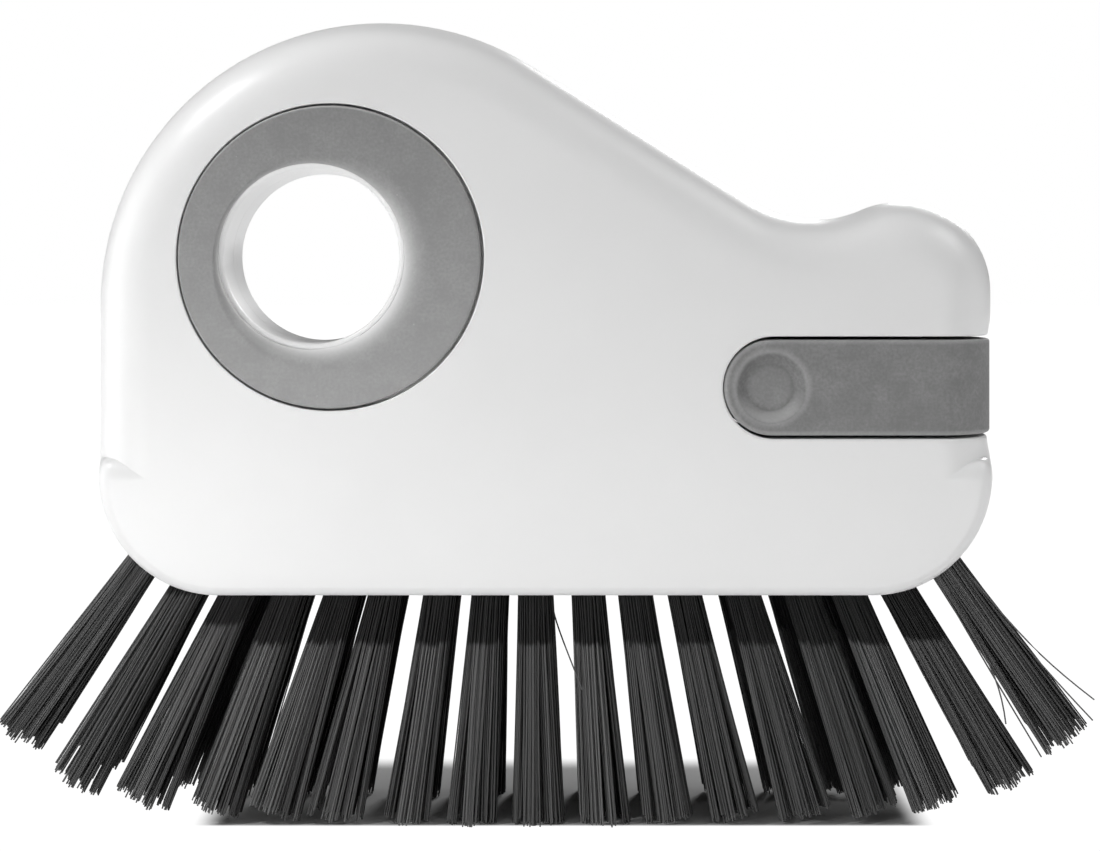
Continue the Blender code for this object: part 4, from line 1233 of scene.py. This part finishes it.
def makeTuft(number, side, chance):
    place = number / 8 - 1
    holeX = place * endTuftX
    shift = (tuft["shift"] if side == front else tuft["backShift"])[number] * mm
    lean = radians(tuft["lean"][number])
    splay = tuft["rowSplay"]
    hole = at(holeX, footEdge(holeX), tuft["rowOffset"], side)
    root = at(holeX + shift, footEdge(holeX + shift), tuft["rowOffset"], side)
    axis = Vector((sin(lean) * cos(splay), side * sin(splay), -cos(lean) * cos(splay)))
    across = Vector((cos(lean), 0.0, sin(lean)))
    through = Vector((0.0, side * cos(splay), sin(splay) * cos(lean)))
    halfTip = 0.5 * tuft["tipWidth"][number] * mm
    flare = halfTip / tuft["rootRadius"]
    widen = 1 + tuft["clumpWiden"] * tuft["clumpPull"]
    fullLength = tuft["length"] - tuft["endShorter"] * place ** tuft["endPower"]
    roots = discPoints(tuft["filaments"], tuft["rootRadius"], chance)
    centres = discPoints(tuft["clumps"], tuft["clumpReach"] * tuft["rootRadius"], chance)
    clumpShort = [chance.uniform(*tuft["clumpShort"]) * tuft["uneven"] for _ in centres]
    clumpShade = [chance.uniform(*tuft["clumpShade"]) for _ in centres]
    clumpDrift = [Vector((chance.uniform(-1, 1), chance.uniform(-1, 1))) * tuft["clumpDrift"]
                  for _ in centres]
    strands = {"vertices": [], "faces": [], "below": [], "shade": []}
    # Height of the painted shadow's edge on this tuft
    paintedShadowZ = (footEdge(holeX) - tuft["paintedShadowDrop"] + tuft["leftLift"] * max(-holeX - tuft["leftFrom"], 0.0)
                + tuft["rightLift"] * max(holeX - tuft["rightFrom"], 0.0))
    radius = tuft["filamentRadius"]
    for start in roots:
        clump = min(range(len(centres)), key=lambda index: (centres[index] - start).length)
        pulled = start.lerp(centres[clump], tuft["clumpPull"])
        tip = Vector((pulled.x * flare, pulled.y * tuft["flareThrough"])) * widen
        tip += clumpDrift[clump] + Vector((chance.gauss(0, 1), chance.gauss(0, 1))) * tuft["tipScatter"]
        tip.x = max(min(tip.x, halfTip), -halfTip)
        bow = Vector((chance.gauss(0, 1), chance.gauss(0, 1))) * tuft["bow"]
        length = fullLength - clumpShort[clump] - tuft["uneven"] * chance.random() ** 2
        points = [hole - axis * depth + across * start.x + through * start.y
                  for depth in (tuft["rootDepth"], tuft["mouthDepth"])]
        thick = radius * chance.uniform(1 - tuft["filamentSpread"], 1 + tuft["filamentSpread"])
        for share in spread(0.0, 1.0, tuft["steps"]):
            offset = start.lerp(tip, share ** tuft["flarePower"]) + bow * sin(pi * share)
            points.append(root + axis * length * share + across * offset.x + through * offset.y)
        # No strand goes through the floor, past the fan's ends or past the faces of the body
        low = tuft["floorGap"]
        if points[-1].z < low:
            points[-1] = points[-2].lerp(points[-1], (points[-2].z - low) / (points[-2].z - points[-1].z))
        farthest = fanHalfWidth - thick
        if abs(points[-1].x) > farthest:
            points[-1] = points[-2].lerp(points[-1], (farthest - abs(points[-2].x))
                                         / (abs(points[-1].x) - abs(points[-2].x)))
        for point in points:
            point.y = max(min(point.y, halfDepth - thick), thick - halfDepth)
        # Painted light and shade: strands on the tuft's outer side and left are painted pale as if lit, and
        # those inside dark as if in shade
        outside = (tuft["paintedLightOut"] * start.y - tuft["paintedLightLeft"] * start.x) / tuft["rootRadius"]
        paintedLight = smoothStep(0.5 + tuft["paintedLightSpread"] * outside)
        shade = clumpShade[clump] * chance.uniform(*tuft["strandShade"]) * paintedLight
        addFilament(strands, points, thick, chance.uniform(0, pi), min(shade, 1.0),
                    paintedShadowZ + chance.gauss(0, 1) * tuft["paintedShadowScatter"])
    for owner, bend in strays:
        if owner == number and side == front:
            path = sprungPath(*(Vector(point) * mm for point in bend))
            addFilament(strands, path, radius, 0.0, tuft["strayShade"], paintedShadowZ)
    data = bpy.data.meshes.new("tuft")
    data.from_pydata(strands["vertices"], [], strands["faces"])
    for name, values in (("belowPaintedShadow", strands["below"]), ("strandShade", strands["shade"])):
        data.attributes.new(name, "FLOAT", "POINT").data.foreach_set("value", values)
    piece = bpy.data.objects.new("tuft", data)
    bpy.context.scene.collection.objects.link(piece)
    return piece


chance = random.Random(tuft["seed"])
for side, row in ((front, "front"), (back, "back")):
    for number in range(len(tuft["lean"])):
        node = f"{row}_tuft_{number + 1:02d}"
        dress(makeTuft(number, side, chance), node + "_filaments", blackNylon, "brush_body",
              [node], sharpAngle=75)
print("tufts made")

# Floor and background: white for the camera, with a faint shadow kept under the brush
studio = {
    "floorHalfSize": 4.0,
    "floorColour": "#e6e6e6",
    "shadowColour": "#b6b6b6",            # the kept shadow reads a little deeper to the camera
    "shadowCentre": 3 * mm,
    "shadowSpan": (55 * mm, 61 * mm),     # the shadow shows fully up to here left and right, and fades out
    "shadowBehind": (21 * mm, 30 * mm),   # the same behind the brush
    "shadowBefore": (8.7 * mm, 9.9 * mm),     # and in front of it
    "white": 1.05,                        # the white that the camera sees round that shadow
    "ambient": 0.0,
}
lamps = (
    # name, place and aim in millimetres, size in millimetres, watts
    ("key, upper left", (-231, -88, 308), (0, 0, 60), (16, 16), 0.39),
    ("strip, low left", (-140, -181, 18), (-60, 0, 60), (120, 30), 0.095),
    ("strip, low front", (0, -181, 18), (0, 0, 75), (340, 30), 0.125),
    ("soft box, left", (-700, -60, 160), (0, 0, 80), (500, 500), 1.85),
    ("soft box, right", (700, -60, 160), (0, 0, 80), (500, 500), 0.48),
    ("soft box, high right", (480, -120, 520), (0, 0, 80), (300, 300), 1.28),
    ("soft box, top", (0, -60, 760), (0, 0, 60), (700, 500), 1.2),
    ("soft box, behind right", (277, 546, 386), (-38, 0, 92), (250, 250), 2.5),
)


def makeFloor():
    half = studio["floorHalfSize"]
    mesh = bmesh.new()
    corners = [mesh.verts.new((x, y, 0.0)) for x, y in rectangle(-half, half, -half, half)]
    mesh.faces.new(corners)
    floor = makeObject("floor", mesh)
    material = bpy.data.materials.new("matt white floor")
    material.use_nodes = True
    material.node_tree.nodes.clear()
    geometry = addNode(material, "NewGeometry")
    axes = addNode(material, "SeparateXYZ", {}, {"Vector": geometry.outputs["Position"]})
    shifted = addNode(material, "Math", {"operation": "SUBTRACT", 1: studio["shadowCentre"]},
                      {0: axes.outputs["X"]})
    across = addNode(material, "Math", {"operation": "ABSOLUTE"}, {0: shifted})
    before = addNode(material, "Math", {"operation": "MULTIPLY", 1: -1.0}, {0: axes.outputs["Y"]})
    kept = None
    for socket, (near, far) in ((across, studio["shadowSpan"]),
                                (axes.outputs["Y"], studio["shadowBehind"]),
                                (before, studio["shadowBefore"])):
        fade = addNode(material, "MapRange", {
            "interpolation_type": "SMOOTHSTEP", 1: near, 2: far, 3: 1.0, 4: 0.0,
        }, {0: socket})
        if kept:
            fade = addNode(material, "Math", {"operation": "MULTIPLY"}, {0: kept, 1: fade})
        kept = fade
    glow = addNode(material, "MapRange", {3: 1.0, 4: 0.0}, {0: kept})
    ray = addNode(material, "LightPath")
    seen = addNode(material, "Math", {"operation": "MAXIMUM"},
                   {0: ray.outputs["Is Camera Ray"], 1: ray.outputs["Is Glossy Ray"]})
    seenAll = addNode(material, "Math", {"operation": "MAXIMUM"},
                      {0: seen, 1: ray.outputs["Is Transmission Ray"]})
    share = addNode(material, "Math", {"operation": "MULTIPLY"}, {0: seenAll, 1: glow})
    paint = addNode(material, "Mix", {
        "data_type": "RGBA", 6: hexColour(studio["floorColour"]), 7: hexColour(studio["shadowColour"]),
    }, {0: ray.outputs["Is Camera Ray"]})
    matt = addNode(material, "BsdfDiffuse", {}, {"Color": paint.outputs[2]})
    white = addNode(material, "Emission", {"Strength": studio["white"]})
    mixed = addNode(material, "MixShader", {}, {0: share, 1: matt, 2: white})
    # Its underside is clear, so that it hides nothing of the brush from below
    clear = addNode(material, "BsdfTransparent")
    sided = addNode(material, "MixShader", {}, {
        0: geometry.outputs["Backfacing"], 1: mixed, 2: clear,
    })
    addNode(material, "OutputMaterial", {}, {"Surface": sided})
    floor.data.materials.append(material)


def makeWorld():
    world = bpy.data.worlds.new("white background")
    world.use_nodes = True
    world.node_tree.nodes.clear()
    ray = addNode(world, "LightPath")
    seen = addNode(world, "Math", {"operation": "MAXIMUM"},
                   {0: ray.outputs["Is Camera Ray"], 1: ray.outputs["Is Transmission Ray"]})
    strength = addNode(world, "MapRange", {3: studio["ambient"], 4: 1.0}, {0: seen})
    light = addNode(world, "Background", {"Color": (1, 1, 1, 1)}, {"Strength": strength})
    addNode(world, "OutputWorld", {}, {"Surface": light})
    bpy.context.scene.world = world


def makeLamps():
    for name, place, aim, size, power in lamps:
        light = bpy.data.lights.new(name, "AREA")
        light.shape = "RECTANGLE"
        light.size = size[0] * mm
        light.size_y = size[1] * mm
        light.energy = power
        holder = bpy.data.objects.new(name, light)
        holder.location = Vector(place) * mm
        holder.visible_camera = False
        direction = (Vector(aim) - Vector(place)) * mm
        holder.rotation_euler = direction.to_track_quat("-Z", "Y").to_euler()
        bpy.context.scene.collection.objects.link(holder)


makeFloor()
makeWorld()
makeLamps()
bpy.context.scene.view_settings.view_transform = "Standard"
print("floor, background and lamps made")
